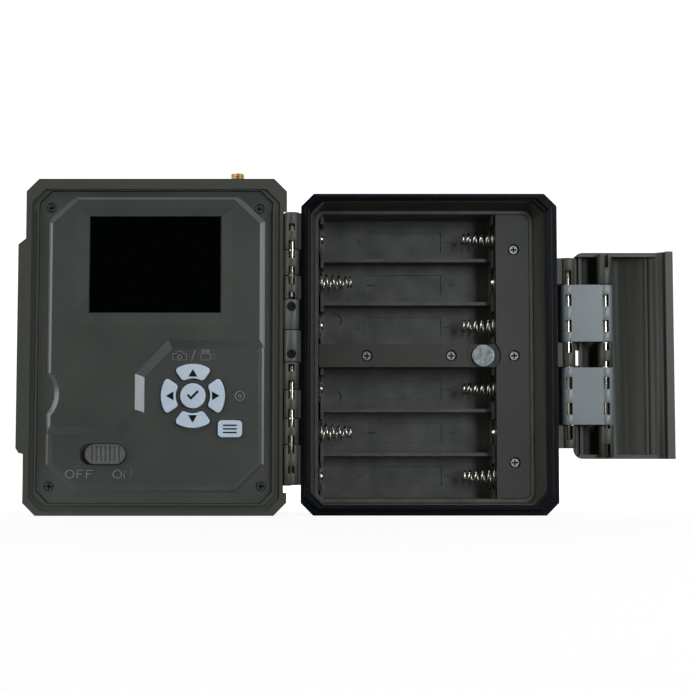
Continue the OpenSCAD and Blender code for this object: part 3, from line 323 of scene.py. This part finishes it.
def camouflage(name, film_from, lean=None, centre=None, back=None):
    finish, tree, skin = start(name, "#3f4340", IOR=1.5)
    coords = add(tree, "TexCoord").outputs
    spot, normal = coords["Object"], coords["Normal"]
    depth = add(tree, "SeparateXYZ", {0: spot}).outputs["Y"]
    film = printed_film(tree, spot)
    pits = add(tree, "TexNoise", {"Vector": spot, "Scale": 1 / (0.5 * MM), "Detail": 3.0}).outputs[0]
    shades = {6: linear("#2f312a"), 7: linear("#3b3e35")}
    bare = add(tree, "Mix", {0: pits, **shades}, data_type="RGBA").outputs[2]
    if lean is None:
        out = looks_away(tree, spot, normal, depth, centre, back)
    else:
        look = add(tree, "SeparateXYZ", {0: normal}).outputs["Y"]
        out = add(tree, "MapRange", {0: look, 1: lean, 2: lean + 0.2}).outputs[0]
    past = add(tree, "MapRange", {0: depth, 1: film_from, 2: film_from + 0.4 * MM}).outputs[0]
    out = add(tree, "Math", {0: out, 1: past}, operation="MULTIPLY").outputs[0]
    paint = add(tree, "Mix", {0: out, 6: bare, 7: film}, data_type="RGBA").outputs[2]
    tree.links.new(paint, skin.inputs["Base Color"])
    gloss = add(tree, "MapRange", {0: pits, 1: 0.2, 2: 0.8, 3: 0.42, 4: 0.56}).outputs[0]
    tree.links.new(gloss, skin.inputs["Roughness"])
    dent = add(tree, "Bump", {"Height": pits, "Strength": 0.5, "Distance": 0.05 * MM}).outputs[0]
    tree.links.new(dent, skin.inputs["Normal"])
    return finish


tray_middle = tuple(middle("battery_tray"))
rear_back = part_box("rear_case")[1].y - 9 * MM
camo_front = camouflage("abs_front_camouflage_film", -12.7 * MM, lean=-0.55)
camo_rear = camouflage("abs_rear_camouflage_film", -9.5 * MM, centre=tray_middle, back=rear_back)
camo_flap = camouflage("abs_flap_camouflage_film", -15.0 * MM, lean=0.15)
print("camouflage on three mouldings")


# %% [markdown]
# Metals keep the default IOR and take their look from colour and roughness. Nickel on spring wire
# is bright and a little warm, zinc on the screws and the disc is greyer and duller, with fine
# tumbling marks, and brass is turned on a lathe. Plating is never one even tone, so each metal goes
# between two, along its marks. In the slots of screws and on the cut edges of plates, shade is
# painted in: there the colour falls to nearly black by depth.

# %% Metals
EVEN = (1, 1, 1)


def metal(name, colour, worn, rough, mark_mm, stretch=EVEN, shade_from=None, shade_full=None):
    finish, tree, skin = start(name, colour, Metallic=1.0)
    spot = add(tree, "TexCoord").outputs["Object"]
    drawn = add(tree, "Mapping", {"Vector": spot, "Scale": stretch}).outputs[0]
    marks = add(tree, "TexNoise", {"Vector": drawn, "Scale": 1 / (mark_mm * MM), "Detail": 4.0}).outputs[0]
    gloss = add(tree, "MapRange", {0: marks, 1: 0.25, 2: 0.75, 3: rough - 0.08, 4: rough + 0.1}).outputs[0]
    tree.links.new(gloss, skin.inputs["Roughness"])
    dent = add(tree, "Bump", {"Height": marks, "Strength": 0.25, "Distance": 0.02 * MM}).outputs[0]
    tree.links.new(dent, skin.inputs["Normal"])
    spread = add(tree, "MapRange", {0: marks, 1: 0.35, 2: 0.65}).outputs[0]
    shade = add(tree, "Mix", {0: spread, 6: linear(worn), 7: linear(colour)}, data_type="RGBA").outputs[2]
    # painted shade: by depth the colour falls to nearly black in screw slots and on plate edges
    if shade_from is not None:
        depth = add(tree, "SeparateXYZ", {0: spot}).outputs["Y"]
        painted_shade = add(tree, "MapRange", {0: depth, 1: shade_from, 2: shade_full}).outputs[0]
        shade = add(tree, "Mix", {0: painted_shade, 6: shade, 7: linear("#17181a")}, data_type="RGBA").outputs[2]
    tree.links.new(shade, skin.inputs["Base Color"])
    return finish


def shade_depths(node, bright_mm, dull_mm):
    face_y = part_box(node)[0].y
    return {"shade_from": face_y + bright_mm * MM, "shade_full": face_y + dull_mm * MM}


# depths where the painted shade of plate edges and screw slots begins and where it is full
plate_edge_shade = shade_depths("plates_hinge_end", 0.6, 0.3)
cover_slot_shade = shade_depths("cover_screws", 0.1, 0.3)
panel_slot_shade = shade_depths("panel_fixings", 0.1, 0.3)
nickel = metal("nickel_plated_wire", "#d4d0c7", "#c6c2b9", 0.2, 0.9)
pin_nickel = metal("nickel_plated_pin", "#d6cfbb", "#c6bfab", 0.17, 0.9, (1, 1, 0.1))
plate_nickel = metal("nickel_plated_sheet", "#d9d7d0", "#cdcbc4", 0.24, 0.9, **plate_edge_shade)
zinc = metal("zinc_plated_steel", "#898f8e", "#6e7373", 0.36, 0.8)
zinc_screw = metal("zinc_plated_screw", "#999a96", "#787975", 0.4, 0.5, **cover_slot_shade)
panel_screw = metal("black_zinc_screw", "#626464", "#505252", 0.4, 0.5, **panel_slot_shade)
black_steel = metal("black_oxide_steel", "#2f3032", "#262729", 0.4, 0.7)
brass = metal("turned_brass", "#bfa165", "#ae9055", 0.32, 0.6, (1, 1, 4))
tin = metal("tinned_sheet", "#b1b2ae", "#a0a19d", 0.35, 1.2)
print("nine metals")


# %% [markdown]
# The keys are white silicone that lets a little light in, the screen and the infrared window are
# polished acrylic, and the lens of the motion sensor is milky polyethylene. Polished acrylic is
# smooth, so it gets only the faint wave that an extruded sheet has.

# %% Silicone, acrylic and glass
def polished(name, colour, rough, wave_mm, **sockets):
    finish, tree, skin = start(name, colour, IOR=1.49, Roughness=rough, **sockets)
    spot = add(tree, "TexCoord").outputs["Object"]
    wave = add(tree, "TexNoise", {"Vector": spot, "Scale": 1 / (wave_mm * MM), "Detail": 1.0}).outputs[0]
    dent = add(tree, "Bump", {"Height": wave, "Strength": 0.12, "Distance": 0.02 * MM}).outputs[0]
    tree.links.new(dent, skin.inputs["Normal"])
    return finish


key_sockets = {"Subsurface_Weight": 0.25, "Subsurface_Scale": 0.8 * MM}
film_sockets = {"Subsurface_Weight": 0.4, "Subsurface_Scale": 1.5 * MM}
silicone_key = moulded("silicone_white_translucent", "#b5c5d3", "#c5d3e0", 0.42, 0.7, 0.015, **key_sockets)
screen_acrylic = polished("acrylic_black_polished", "#020303", 0.06, 30)
smoked_acrylic = polished("acrylic_smoked", "#2a1a20", 0.05, 30, Transmission_Weight=0.55)
clear_acrylic = polished("acrylic_clear", "#eef3f5", 0.02, 30, Transmission_Weight=1.0)
lens_glass = polished("glass_coated", "#3a3350", 0.02, 8, Transmission_Weight=0.35)
milky_film = moulded("polyethylene_milky", "#c9cbc6", "#d6d8d3", 0.4, 0.8, 0.02, **film_sockets)
diode_resin = polished("epoxy_diode", "#5c4a52", 0.1, 4, Transmission_Weight=0.3)
ink = polished("pad_printed_ink", "#050606", 0.5, 3, Specular_IOR_Level=0.2)
print("eight clear, white and printed finishes")

# %% [markdown]
# A circuit board is green solder mask over copper tracks, so a fine grid of lighter lines shows
# through. The boards sit inside and are seen only when the case is taken apart.

# %% Circuit boards
board, tree, skin = start("epoxy_glass_solder_mask", "#0e3a20", Roughness=0.35, IOR=1.55)
spot = add(tree, "TexCoord").outputs["Object"]
mask = {"Color1": linear("#0d3b21"), "Color2": linear("#12492b"), "Mortar": linear("#1f6a3f")}
tracks = add(tree, "TexBrick", {"Vector": spot, **mask, "Scale": 1 / (14 * MM), "Mortar Size": 0.012})
tree.links.new(tracks.outputs[0], skin.inputs["Base Color"])
print("board finish")


# %% [markdown]
# The solids arrive with sharp edges, and a sharp edge never catches the light. Every real moulding
# has a small radius, so the solids get bevels, from 0.06 mm on a screw to 0.3 mm on a case. Only the
# boards and diodes inside go without. The corners are first welded and the flat triangles joined,
# because a bevel needs whole faces.

# %% Finishes and soft edges on the solids
WELD_MM, FLAT_DEGREES = 0.001, 0.5
EDGE_DEGREES, EDGE_STEPS = 35, 2


def dress(names, finish, edge_mm):
    for name in names.split():
        solid = solids[name]
        solid.material_slots[0].material = finish
        if edge_mm:
            weld = solid.modifiers.new("joined", "WELD")
            weld.merge_threshold = WELD_MM * MM
            flat = solid.modifiers.new("flat_faces", "DECIMATE")
            flat.decimate_type = "DISSOLVE"
            flat.angle_limit = math.radians(FLAT_DEGREES)
            edge = solid.modifiers.new("moulded_edge", "BEVEL")
            edge.width = edge_mm * MM
            edge.segments = EDGE_STEPS
            edge.limit_method = "ANGLE"
            edge.angle_limit = math.radians(EDGE_DEGREES)
            edge.harden_normals = True


dress("front_case", camo_front, 0.3)
dress("rear_case", camo_rear, 0.3)
dress("latch_flap", camo_flap, 0.25)
dress("inner_panel", abs_panel, 0.15)
dress("rear_barrel_cover front_barrel_cover", abs_matt, 0.15)
dress("battery_tray", abs_tray, 0.2)
dress("contact_cover wire_cover", abs_cover, 0.2)
dress("power_knob", abs_knob, 0.15)
dress("link_upper link_lower", acetal, 0.2)
dress("rim_gasket", silicone_seal, 0.2)
dress("key_up key_down key_left key_right key_centre key_menu", silicone_key, 0.3)
dress("screen_window", screen_acrylic, 0.1)
dress("infrared_window", smoked_acrylic, 0.2)
dress("lens_window", clear_acrylic, 0.2)
dress("indicator_windows", smoked_acrylic, 0.15)
dress("motion_lens", milky_film, 0.15)
dress("infrared_diodes", diode_resin, 0)
dress("closure_magnet", zinc, 0.3)
dress("cover_screws", zinc_screw, 0.06)
dress("panel_fixings", panel_screw, 0.06)
dress("rear_barrel_screw front_barrel_screw", black_steel, 0.06)
dress("plates_hinge_end plates_latch_end", plate_nickel, 0.08)
dress("hinge_pin_upper hinge_pin_lower latch_case_pin latch_lever_pin", pin_nickel, 0.1)
dress("tripod_bush antenna_jack jack_nut", brass, 0.12)
dress("display_module motion_sensor slide_switch", tin, 0.15)
dress("main_board infrared_board key_board", board, 0)
dress("board_parts lens_holder lens_barrel", abs_black, 0.15)
print("finishes on", len(solids), "solids")


# %% [markdown]
# The battery springs are wound wire: a dead turn at the plate, open turns on a cone, and a closed
# turn at the tip that meets the cell. The line of the wire follows from these turns.

# %% Line of a spring
WIRE = 0.66
SPRING_LENGTH, BASE_R, TIP_R = 11.2, 3.0, 1.7
DEAD_TURNS, OPEN_TURNS, CLOSED_TURNS, TURN_STEPS = 0.7, 4.3, 0.9, 28


def wound(x, y, z, direction):
    turns = DEAD_TURNS + OPEN_TURNS + CLOSED_TURNS
    steps = int(turns * TURN_STEPS)
    reach = SPRING_LENGTH - WIRE
    points = []
    for i in range(steps + 1):
        turn = turns * i / steps
        if turn < DEAD_TURNS:
            along = WIRE * turn
        elif turn < DEAD_TURNS + OPEN_TURNS:
            share = (turn - DEAD_TURNS) / OPEN_TURNS
            along = WIRE * DEAD_TURNS + (reach - WIRE * (DEAD_TURNS + CLOSED_TURNS)) * share
        else:
            along = reach - WIRE * CLOSED_TURNS + WIRE * (turn - DEAD_TURNS - OPEN_TURNS)
        cone = (turn - DEAD_TURNS * 0.5) / (DEAD_TURNS * 0.5 + OPEN_TURNS)
        radius = BASE_R + (TIP_R - BASE_R) * min(1.0, max(0.0, cone))
        angle = 2 * math.pi * turn
        points.append((
            x + direction * (along + WIRE / 2) * MM,
            y + radius * math.cos(angle) * MM,
            z + radius * math.sin(angle) * MM,
        ))
    return points


coil = wound(0, 0, 0, 1)
print("wire in a spring, mm:", round(sum(math.dist(a, b) for a, b in zip(coil, coil[1:])) / MM))


# %% [markdown]
# A swept round wire shows the small highlights that make them read as springs, so they stand in for
# the plainer solids. The same round wire, a curve with a bevel, later makes raised strokes, threads
# and lens ridges. A line that ends where it began is closed.

# %% Battery springs
ROW_PITCH, LOWEST_ROWS = 15.0, (12.75, 64.55)
CELL_ROWS = [lowest + ROW_PITCH * i for lowest in LOWEST_ROWS for i in range(3)]
HINGE_ROWS, LATCH_ROWS = (1, 4), (0, 2, 3, 5)


def round_wire(name, lines, diameter, roundness, finish, body):
    curve = bpy.data.curves.new(name, "CURVE")
    curve.dimensions = "3D"
    curve.bevel_depth = diameter / 2 * MM
    curve.bevel_resolution = roundness
    curve.use_fill_caps = True
    for points in lines:
        closed = points[0] == points[-1]
        points = points[:-1] if closed else points
        line = curve.splines.new("POLY")
        line.use_cyclic_u = closed
        line.points.add(len(points) - 1)
        for knot, point in zip(line.points, points):
            knot.co = (*point, 1)
    curve.materials.append(finish)
    piece = bpy.data.objects.new(name, curve)
    scene.collection.objects.link(piece)
    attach(piece, body)
    return piece


for node, rows, direction in (("springs_hinge_end", HINGE_ROWS, 1), ("springs_latch_end", LATCH_ROWS, -1)):
    low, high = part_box(node)
    foot = low.x if direction > 0 else high.x
    for row in rows:
        coil = wound(foot, (low.y + high.y) / 2, CELL_ROWS[row] * MM, direction)
        spring = round_wire(f"spring_{row}", [coil], WIRE, 4, nickel, "rear_case")
        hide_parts(node)
print(len(CELL_ROWS), "wound springs")


# %% [markdown]
# Legends come in two kinds. Those by the switch and over the keys are raised strokes of the panel's
# olive plastic, so they are round lines about half sunk in its face; their colour is lighter than the
# panel as a painted highlight. Those on the keys are pad-printed ink, so they are thin flat shapes.
# Both are plain signs: arrows, a tick, three bars, ON and OFF.

# %% Raised letters
LETTER_H, LETTER_W, STROKE = 2.6, 2.8, 0.42
FIELD_STEP, STROKE_PROUD = 1.0, 0.08
BELOW_SWITCH, OFF_AT, ON_AT = 6.7, (-10.9, -7.4, -4.3), (4.9, 8.4)
panel_low, panel_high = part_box("inner_panel")
field_y = panel_low.y + FIELD_STEP * MM
stroke_y = field_y - STROKE_PROUD * MM
pad = middle("key_centre")
switch = middle("slide_switch")


def raised(name, lines, at, stroke, finish, body):
    placed = [[(at[0] + x * MM, at[1], at[2] + z * MM) for x, z in points] for points in lines]
    return round_wire(name, placed, stroke, 2, finish, body)


def oval(x, z, width, height, count=20):
    angles = [2 * math.pi * i / count for i in range(count)]
    ring = [(x + width / 2 * math.cos(a), z + height / 2 * math.sin(a)) for a in angles]
    return ring + ring[:1]


def letter_o(x):
    return [oval(x, 0, LETTER_W, LETTER_H)]


def letter_f(x):
    half_w, half_h = LETTER_W * 0.36, LETTER_H / 2
    stem_and_top = [(x - half_w, -half_h), (x - half_w, half_h), (x + half_w, half_h)]
    return [stem_and_top, [(x - half_w, 0.1), (x + half_w * 0.6, 0.1)]]


def letter_n(x):
    half_w, half_h = LETTER_W * 0.42, LETTER_H / 2
    return [[(x - half_w, -half_h), (x - half_w, half_h), (x + half_w, -half_h), (x + half_w, half_h)]]


below = (switch.x, stroke_y, switch.z - BELOW_SWITCH * MM)
off_lines = letter_o(OFF_AT[0]) + letter_f(OFF_AT[1]) + letter_f(OFF_AT[2])
on_lines = letter_o(ON_AT[0]) + letter_n(ON_AT[1])
raised("legend_off", off_lines, below, STROKE, abs_legend, "front_case")
raised("legend_on", on_lines, below, STROKE, abs_legend, "front_case")
print("ON and OFF by the switch")

# %% [markdown]
# Over the keys stand two small pictures with a stroke between them, a still camera and a film
# camera, and a ring with a dot marks the release on the right.

# %% Raised signs
ABOVE_PAD, RIGHT_OF_PAD = 13.4, 15.6
SIGN_STROKE, RING_STROKE = 0.34, 0.36
over = (pad.x, stroke_y, pad.z + ABOVE_PAD * MM)
still_body = [(-6.9, -1.4), (-6.9, 0.7), (-5.8, 0.7), (-5.3, 1.5), (-3.9, 1.5), (-3.4, 0.7), (-2.3, 0.7)]
still_body += [(-2.3, -1.4), (-6.9, -1.4)]
still = [still_body, oval(-4.6, -0.35, 1.3, 1.3, 12)]
slash = [[(-0.6, -1.7), (0.6, 1.9)]]
film = [
    [(2.6, -1.4), (2.6, 0.8), (5.6, 0.8), (5.6, -1.4), (2.6, -1.4)],
    [(5.6, -0.6), (6.9, -1.2), (6.9, 0.6), (5.6, 0.0)],
    oval(3.4, 1.6, 0.9, 0.9, 10),
    oval(4.8, 1.6, 0.9, 0.9, 10),
]
raised("signs_over_keys", still + slash + film, over, SIGN_STROKE, abs_legend, "front_case")
release = [oval(0, 0, 3.0, 3.0), oval(0, 0, 1.0, 1.0, 10)]
beside = (pad.x + RIGHT_OF_PAD * MM, stroke_y, pad.z)
raised("sign_release", release, beside, RING_STROKE, abs_legend, "front_case")
print("three raised signs")


# %% [markdown]
# The lower fields of the panel rise a little toward their outline, which carries on the outline of
# the upper field round both bottom corners. It is laid out in millimetres from the panel's edges, from
# the right side over the bottom to the left.

# %% Outline of the lower fields
CUT_X, CUT_Z = 9.6, 9.2
MARGIN_LEFT, MARGIN_RIGHT, MARGIN_LOW = 2.8, 2.6, 3.4
ABOVE_KEYS, BELOW_KEYS = 17, 12
edge_left, edge_right = panel_low.x / MM + MARGIN_LEFT, panel_high.x / MM - MARGIN_RIGHT
edge_low = panel_low.z / MM + MARGIN_LOW
lower_edge = [
    (edge_right, pad.z / MM + ABOVE_KEYS),
    (edge_right, edge_low + CUT_Z),
    (edge_right - CUT_X, edge_low),
    (edge_left + CUT_X, edge_low),
    (edge_left, edge_low + CUT_Z),
    (edge_left, pad.z / MM - BELOW_KEYS),
]
print("outline, mm:", round(sum(math.dist(a, b) for a, b in zip(lower_edge, lower_edge[1:]))))


# %% [markdown]
# A low ridge makes the rise: a narrow slope outside, which mirrors the side boxes as a thin bright
# line, and a gentler one inside. It is swept along the outline with mitred corners, which keeps the
# slopes flat where a round tube would not. What is built as a mesh becomes a piece by one helper.

# %% Ridge on the outline
RISE_W, RISE_H, FALL_W, SUNK = 0.85, 0.28, 1.5, 0.05


def mitred(path, inset):
    points = [Vector(p) for p in path]
    runs = [(b - a).normalized() for a, b in zip(points, points[1:])]
    inward = [Vector((run.y, -run.x)) for run in runs]
    sides = zip(points, inward[:1] + inward, inward + inward[-1:])
    return [p + inset * (a + b) / (1 + a.dot(b)) for p, a, b in sides]


def mesh_piece(name, shape, finish, body):
    bmesh.ops.recalc_face_normals(shape, faces=shape.faces)
    mesh = bpy.data.meshes.new(name)
    shape.to_mesh(mesh)
    shape.free()
    mesh.materials.append(finish)
    piece = bpy.data.objects.new(name, mesh)
    scene.collection.objects.link(piece)
    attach(piece, body)
    return piece


ridge = bmesh.new()
rails = []
for inset, proud in ((0, -SUNK), (RISE_W, RISE_H), (RISE_W + FALL_W, -SUNK)):
    y = field_y - proud * MM
    rails.append([ridge.verts.new((p.x * MM, y, p.y * MM)) for p in mitred(lower_edge, inset)])
for a, b in zip(rails, rails[1:] + rails[:1]):
    for i in range(len(lower_edge) - 1):
        ridge.faces.new((a[i], a[i + 1], b[i + 1], b[i]))
for end in (0, -1):
    ridge.faces.new([rail[end] for rail in rails])
mesh_piece("panel_lower_edge", ridge, abs_panel, "front_case")
print("ridge of", len(lower_edge) - 1, "runs")


# %% [markdown]
# Ink is only a few hundredths of a millimetre thick. The shapes are cut from flat outlines and given
# that thickness, and each rides on its own key so that it goes in with it.

# %% Printed signs on the keys
INK = 0.03
ARROW_LENGTH, ARROW_HALF = 2.5, 1.5
BAR_HALF, BAR_THICK, BAR_FEET = 2.3, 0.5, (-1.45, -0.25, 0.95)


def printed(name, outlines, key):
    low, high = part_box(key)
    centre = (low + high) / 2
    y = low.y - INK * MM
    layer = bmesh.new()
    for outline in outlines:
        corners = [layer.verts.new((centre.x + x * MM, y, centre.z + z * MM)) for x, z in outline]
        grown = bmesh.ops.extrude_face_region(layer, geom=[layer.faces.new(corners)])["geom"]
        for vert in (v for v in grown if isinstance(v, bmesh.types.BMVert)):
            vert.co.y += 2 * INK * MM
    return mesh_piece(name, layer, ink, key)


def arrow(degrees):
    c, s = math.cos(math.radians(degrees)), math.sin(math.radians(degrees))
    shape = [(ARROW_LENGTH / 2, 0), (-ARROW_LENGTH / 2, ARROW_HALF), (-ARROW_LENGTH / 2, -ARROW_HALF)]
    return [(x * c - z * s, x * s + z * c) for x, z in shape]


for side, degrees in (("up", 90), ("down", 270), ("left", 180), ("right", 0)):
    printed("arrow_" + side, [arrow(degrees)], "key_" + side)
tick = [(-2.0, 0.1), (-1.5, 0.65), (-0.6, -0.25), (1.5, 1.9), (2.05, 1.35), (-0.6, -1.35)]
printed("tick_centre", [tick], "key_centre")
bars = []
for foot in BAR_FEET:
    top = foot + BAR_THICK
    bars.append([(-BAR_HALF, foot), (BAR_HALF, foot), (BAR_HALF, top), (-BAR_HALF, top)])
printed("bars_menu", bars, "key_menu")
print("six printed signs")

# %% [markdown]
# The power knob has a small chevron at each end of its ribs.

# %% Chevrons on the knob
CHEVRON_FROM, CHEVRON_TO, CHEVRON_HALF, CHEVRON_STROKE = 5.5, 6.1, 0.6, 0.25
knob = middle("power_knob")
knob_face = (knob.x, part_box("power_knob")[0].y, knob.z)
chevrons = []
for side in (-1, 1):
    ends, point = side * CHEVRON_FROM, side * CHEVRON_TO
    chevrons.append([(ends, CHEVRON_HALF), (point, 0), (ends, -CHEVRON_HALF)])
raised("knob_chevrons", chevrons, knob_face, CHEVRON_STROKE, abs_legend, "power_knob")
print(len(chevrons), "chevrons")

# %% [markdown]
# Each bay floor is marked for the cells: a plus at the stud end and a minus at the spring end, raised
# a little from the floor.

# %% Polarity marks
MARK_HALF, MARK_STROKE = 1.3, 0.5
TRAY_WALL, TRAY_FLOOR = 1.9, 1.4
MINUS_FIRST, PLUS_FIRST = (17.5, 46.0), (44.0, 13.5)
tray_low, tray_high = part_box("battery_tray")
bay_corner = (tray_low.x + TRAY_WALL * MM, tray_high.y - TRAY_FLOOR * MM, 0)
marks = []
for row, z in enumerate(CELL_ROWS):
    minus_x, plus_x = MINUS_FIRST if row in HINGE_ROWS else PLUS_FIRST
    marks.append([(minus_x - MARK_HALF, z), (minus_x + MARK_HALF, z)])
    marks.append([(plus_x - MARK_HALF, z), (plus_x + MARK_HALF, z)])
    marks.append([(plus_x, z - MARK_HALF), (plus_x, z + MARK_HALF)])
raised("polarity_marks", marks, bay_corner, MARK_STROKE, abs_tray, "rear_case")
print(len(marks), "raised strokes in the bays")


# %% [markdown]
# Threads are smooth cylinders in the solids. A thin wire wound on the antenna jack and in the
# tripod bush gives the crests: 36 turns to the inch on the jack, 20 on the bush.

# %% Threads
JACK_R, JACK_PITCH, JACK_CREST = 2.2, 0.705, 0.32
BUSH_R, BUSH_PITCH, BUSH_CREST = 2.6, 1.27, 0.6
FREE_END, BUSH_DEPTH, CREST_STEPS = 0.3, 3.2, 24


def thread(name, centre, axis, radius, begin, end, pitch, crest, body):
    turns = (end - begin) / pitch
    steps = int(turns * CREST_STEPS)
    points = []
    for i in range(steps + 1):
        angle = 2 * math.pi * turns * i / steps
        along = (begin + (end - begin) * i / steps) * MM
        a, b = radius * math.cos(angle) * MM, radius * math.sin(angle) * MM
        offset = Vector((a, along, b)) if axis == "Y" else Vector((a, b, along))
        points.append(tuple(Vector(centre) + offset))
    return round_wire(name, [points], crest, 1, brass, body)


jack = middle("jack_nut")
nut_top, jack_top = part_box("jack_nut")[1].z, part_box("antenna_jack")[1].z
jack_end = (jack_top - nut_top) / MM - FREE_END
jack_foot = (jack.x, jack.y, nut_top)
thread("jack_thread", jack_foot, "Z", JACK_R, FREE_END, jack_end, JACK_PITCH, JACK_CREST, "front_case")
bush = middle("tripod_bush")
bush_mouth = (bush.x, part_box("tripod_bush")[1].y, bush.z)
thread("bush_thread", bush_mouth, "Y", BUSH_R, -BUSH_DEPTH, -FREE_END, BUSH_PITCH, BUSH_CREST, "rear_case")
print("two threads")

# %% [markdown]
# The bowed cover of the motion sensor is a sheet of small moulded lenses. Ridges divide it into
# three rows of facets, and each ridge follows the bow of the cover.

# %% Facets of the motion lens
BOW_R, RIDGE, RIDGE_LIFT, BOW_STEPS = 34.0, 0.28, 0.02, 30
FACETS_HALF_W = 14.8
ROW_EDGES, ROW_COUNTS = (-10.6, -3.6, 3.6, 10.6), (5, 7, 5)
cover = middle("motion_lens")
bow_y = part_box("motion_lens")[1].y - BOW_R * MM


def on_bow(x, z):
    y = bow_y + math.sqrt((BOW_R * MM) ** 2 - (x * MM) ** 2) + RIDGE_LIFT * MM
    return (cover.x + x * MM, y, cover.z + z * MM)


def across(count):
    return [-FACETS_HALF_W + 2 * FACETS_HALF_W * i / count for i in range(count + 1)]


ridges = [[on_bow(x, z) for x in across(BOW_STEPS)] for z in ROW_EDGES]
for low_z, high_z, count in zip(ROW_EDGES, ROW_EDGES[1:], ROW_COUNTS):
    ridges += [[on_bow(x, low_z), on_bow(x, high_z)] for x in across(count)]
round_wire("motion_lens_facets", ridges, RIDGE, 1, milky_film, "front_case")
print("facet ridges:", len(ridges))

# %% [markdown]
# Behind the clear window the lens barrel ends in a domed front element with a violet coating. It is
# built in rings from its top outward, closed by a flat back, and smooth everywhere but there.

# %% Front lens element
DOME_R, DOME_RISE, DOME_SUNK = 4.3, 1.3, 0.5
DOME_RINGS, DOME_SIDES = 8, 40
barrel = middle("lens_barrel")
barrel_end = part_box("lens_barrel")[1].y
dome = bmesh.new()
top = dome.verts.new((barrel.x, barrel_end - DOME_SUNK * MM, barrel.z))
last = [top] * DOME_SIDES
for ring in range(1, DOME_RINGS + 1):
    r = DOME_R * ring / DOME_RINGS
    y = barrel_end - (DOME_SUNK + DOME_RISE * (r / DOME_R) ** 2) * MM
    now = []
    for i in range(DOME_SIDES):
        angle = 2 * math.pi * i / DOME_SIDES
        x, z = barrel.x + r * math.cos(angle) * MM, barrel.z + r * math.sin(angle) * MM
        now.append(dome.verts.new((x, y, z)))
    for i in range(DOME_SIDES):
        j = (i + 1) % DOME_SIDES
        dome.faces.new((top, now[i], now[j]) if ring == 1 else (last[i], now[i], now[j], last[j]))
    last = now
dome.faces.new(reversed(last))
for facet in dome.faces:
    facet.smooth = len(facet.verts) < 5
mesh_piece("front_element", dome, lens_glass, "front_case")
print("front element of", 2 * DOME_R, "mm")
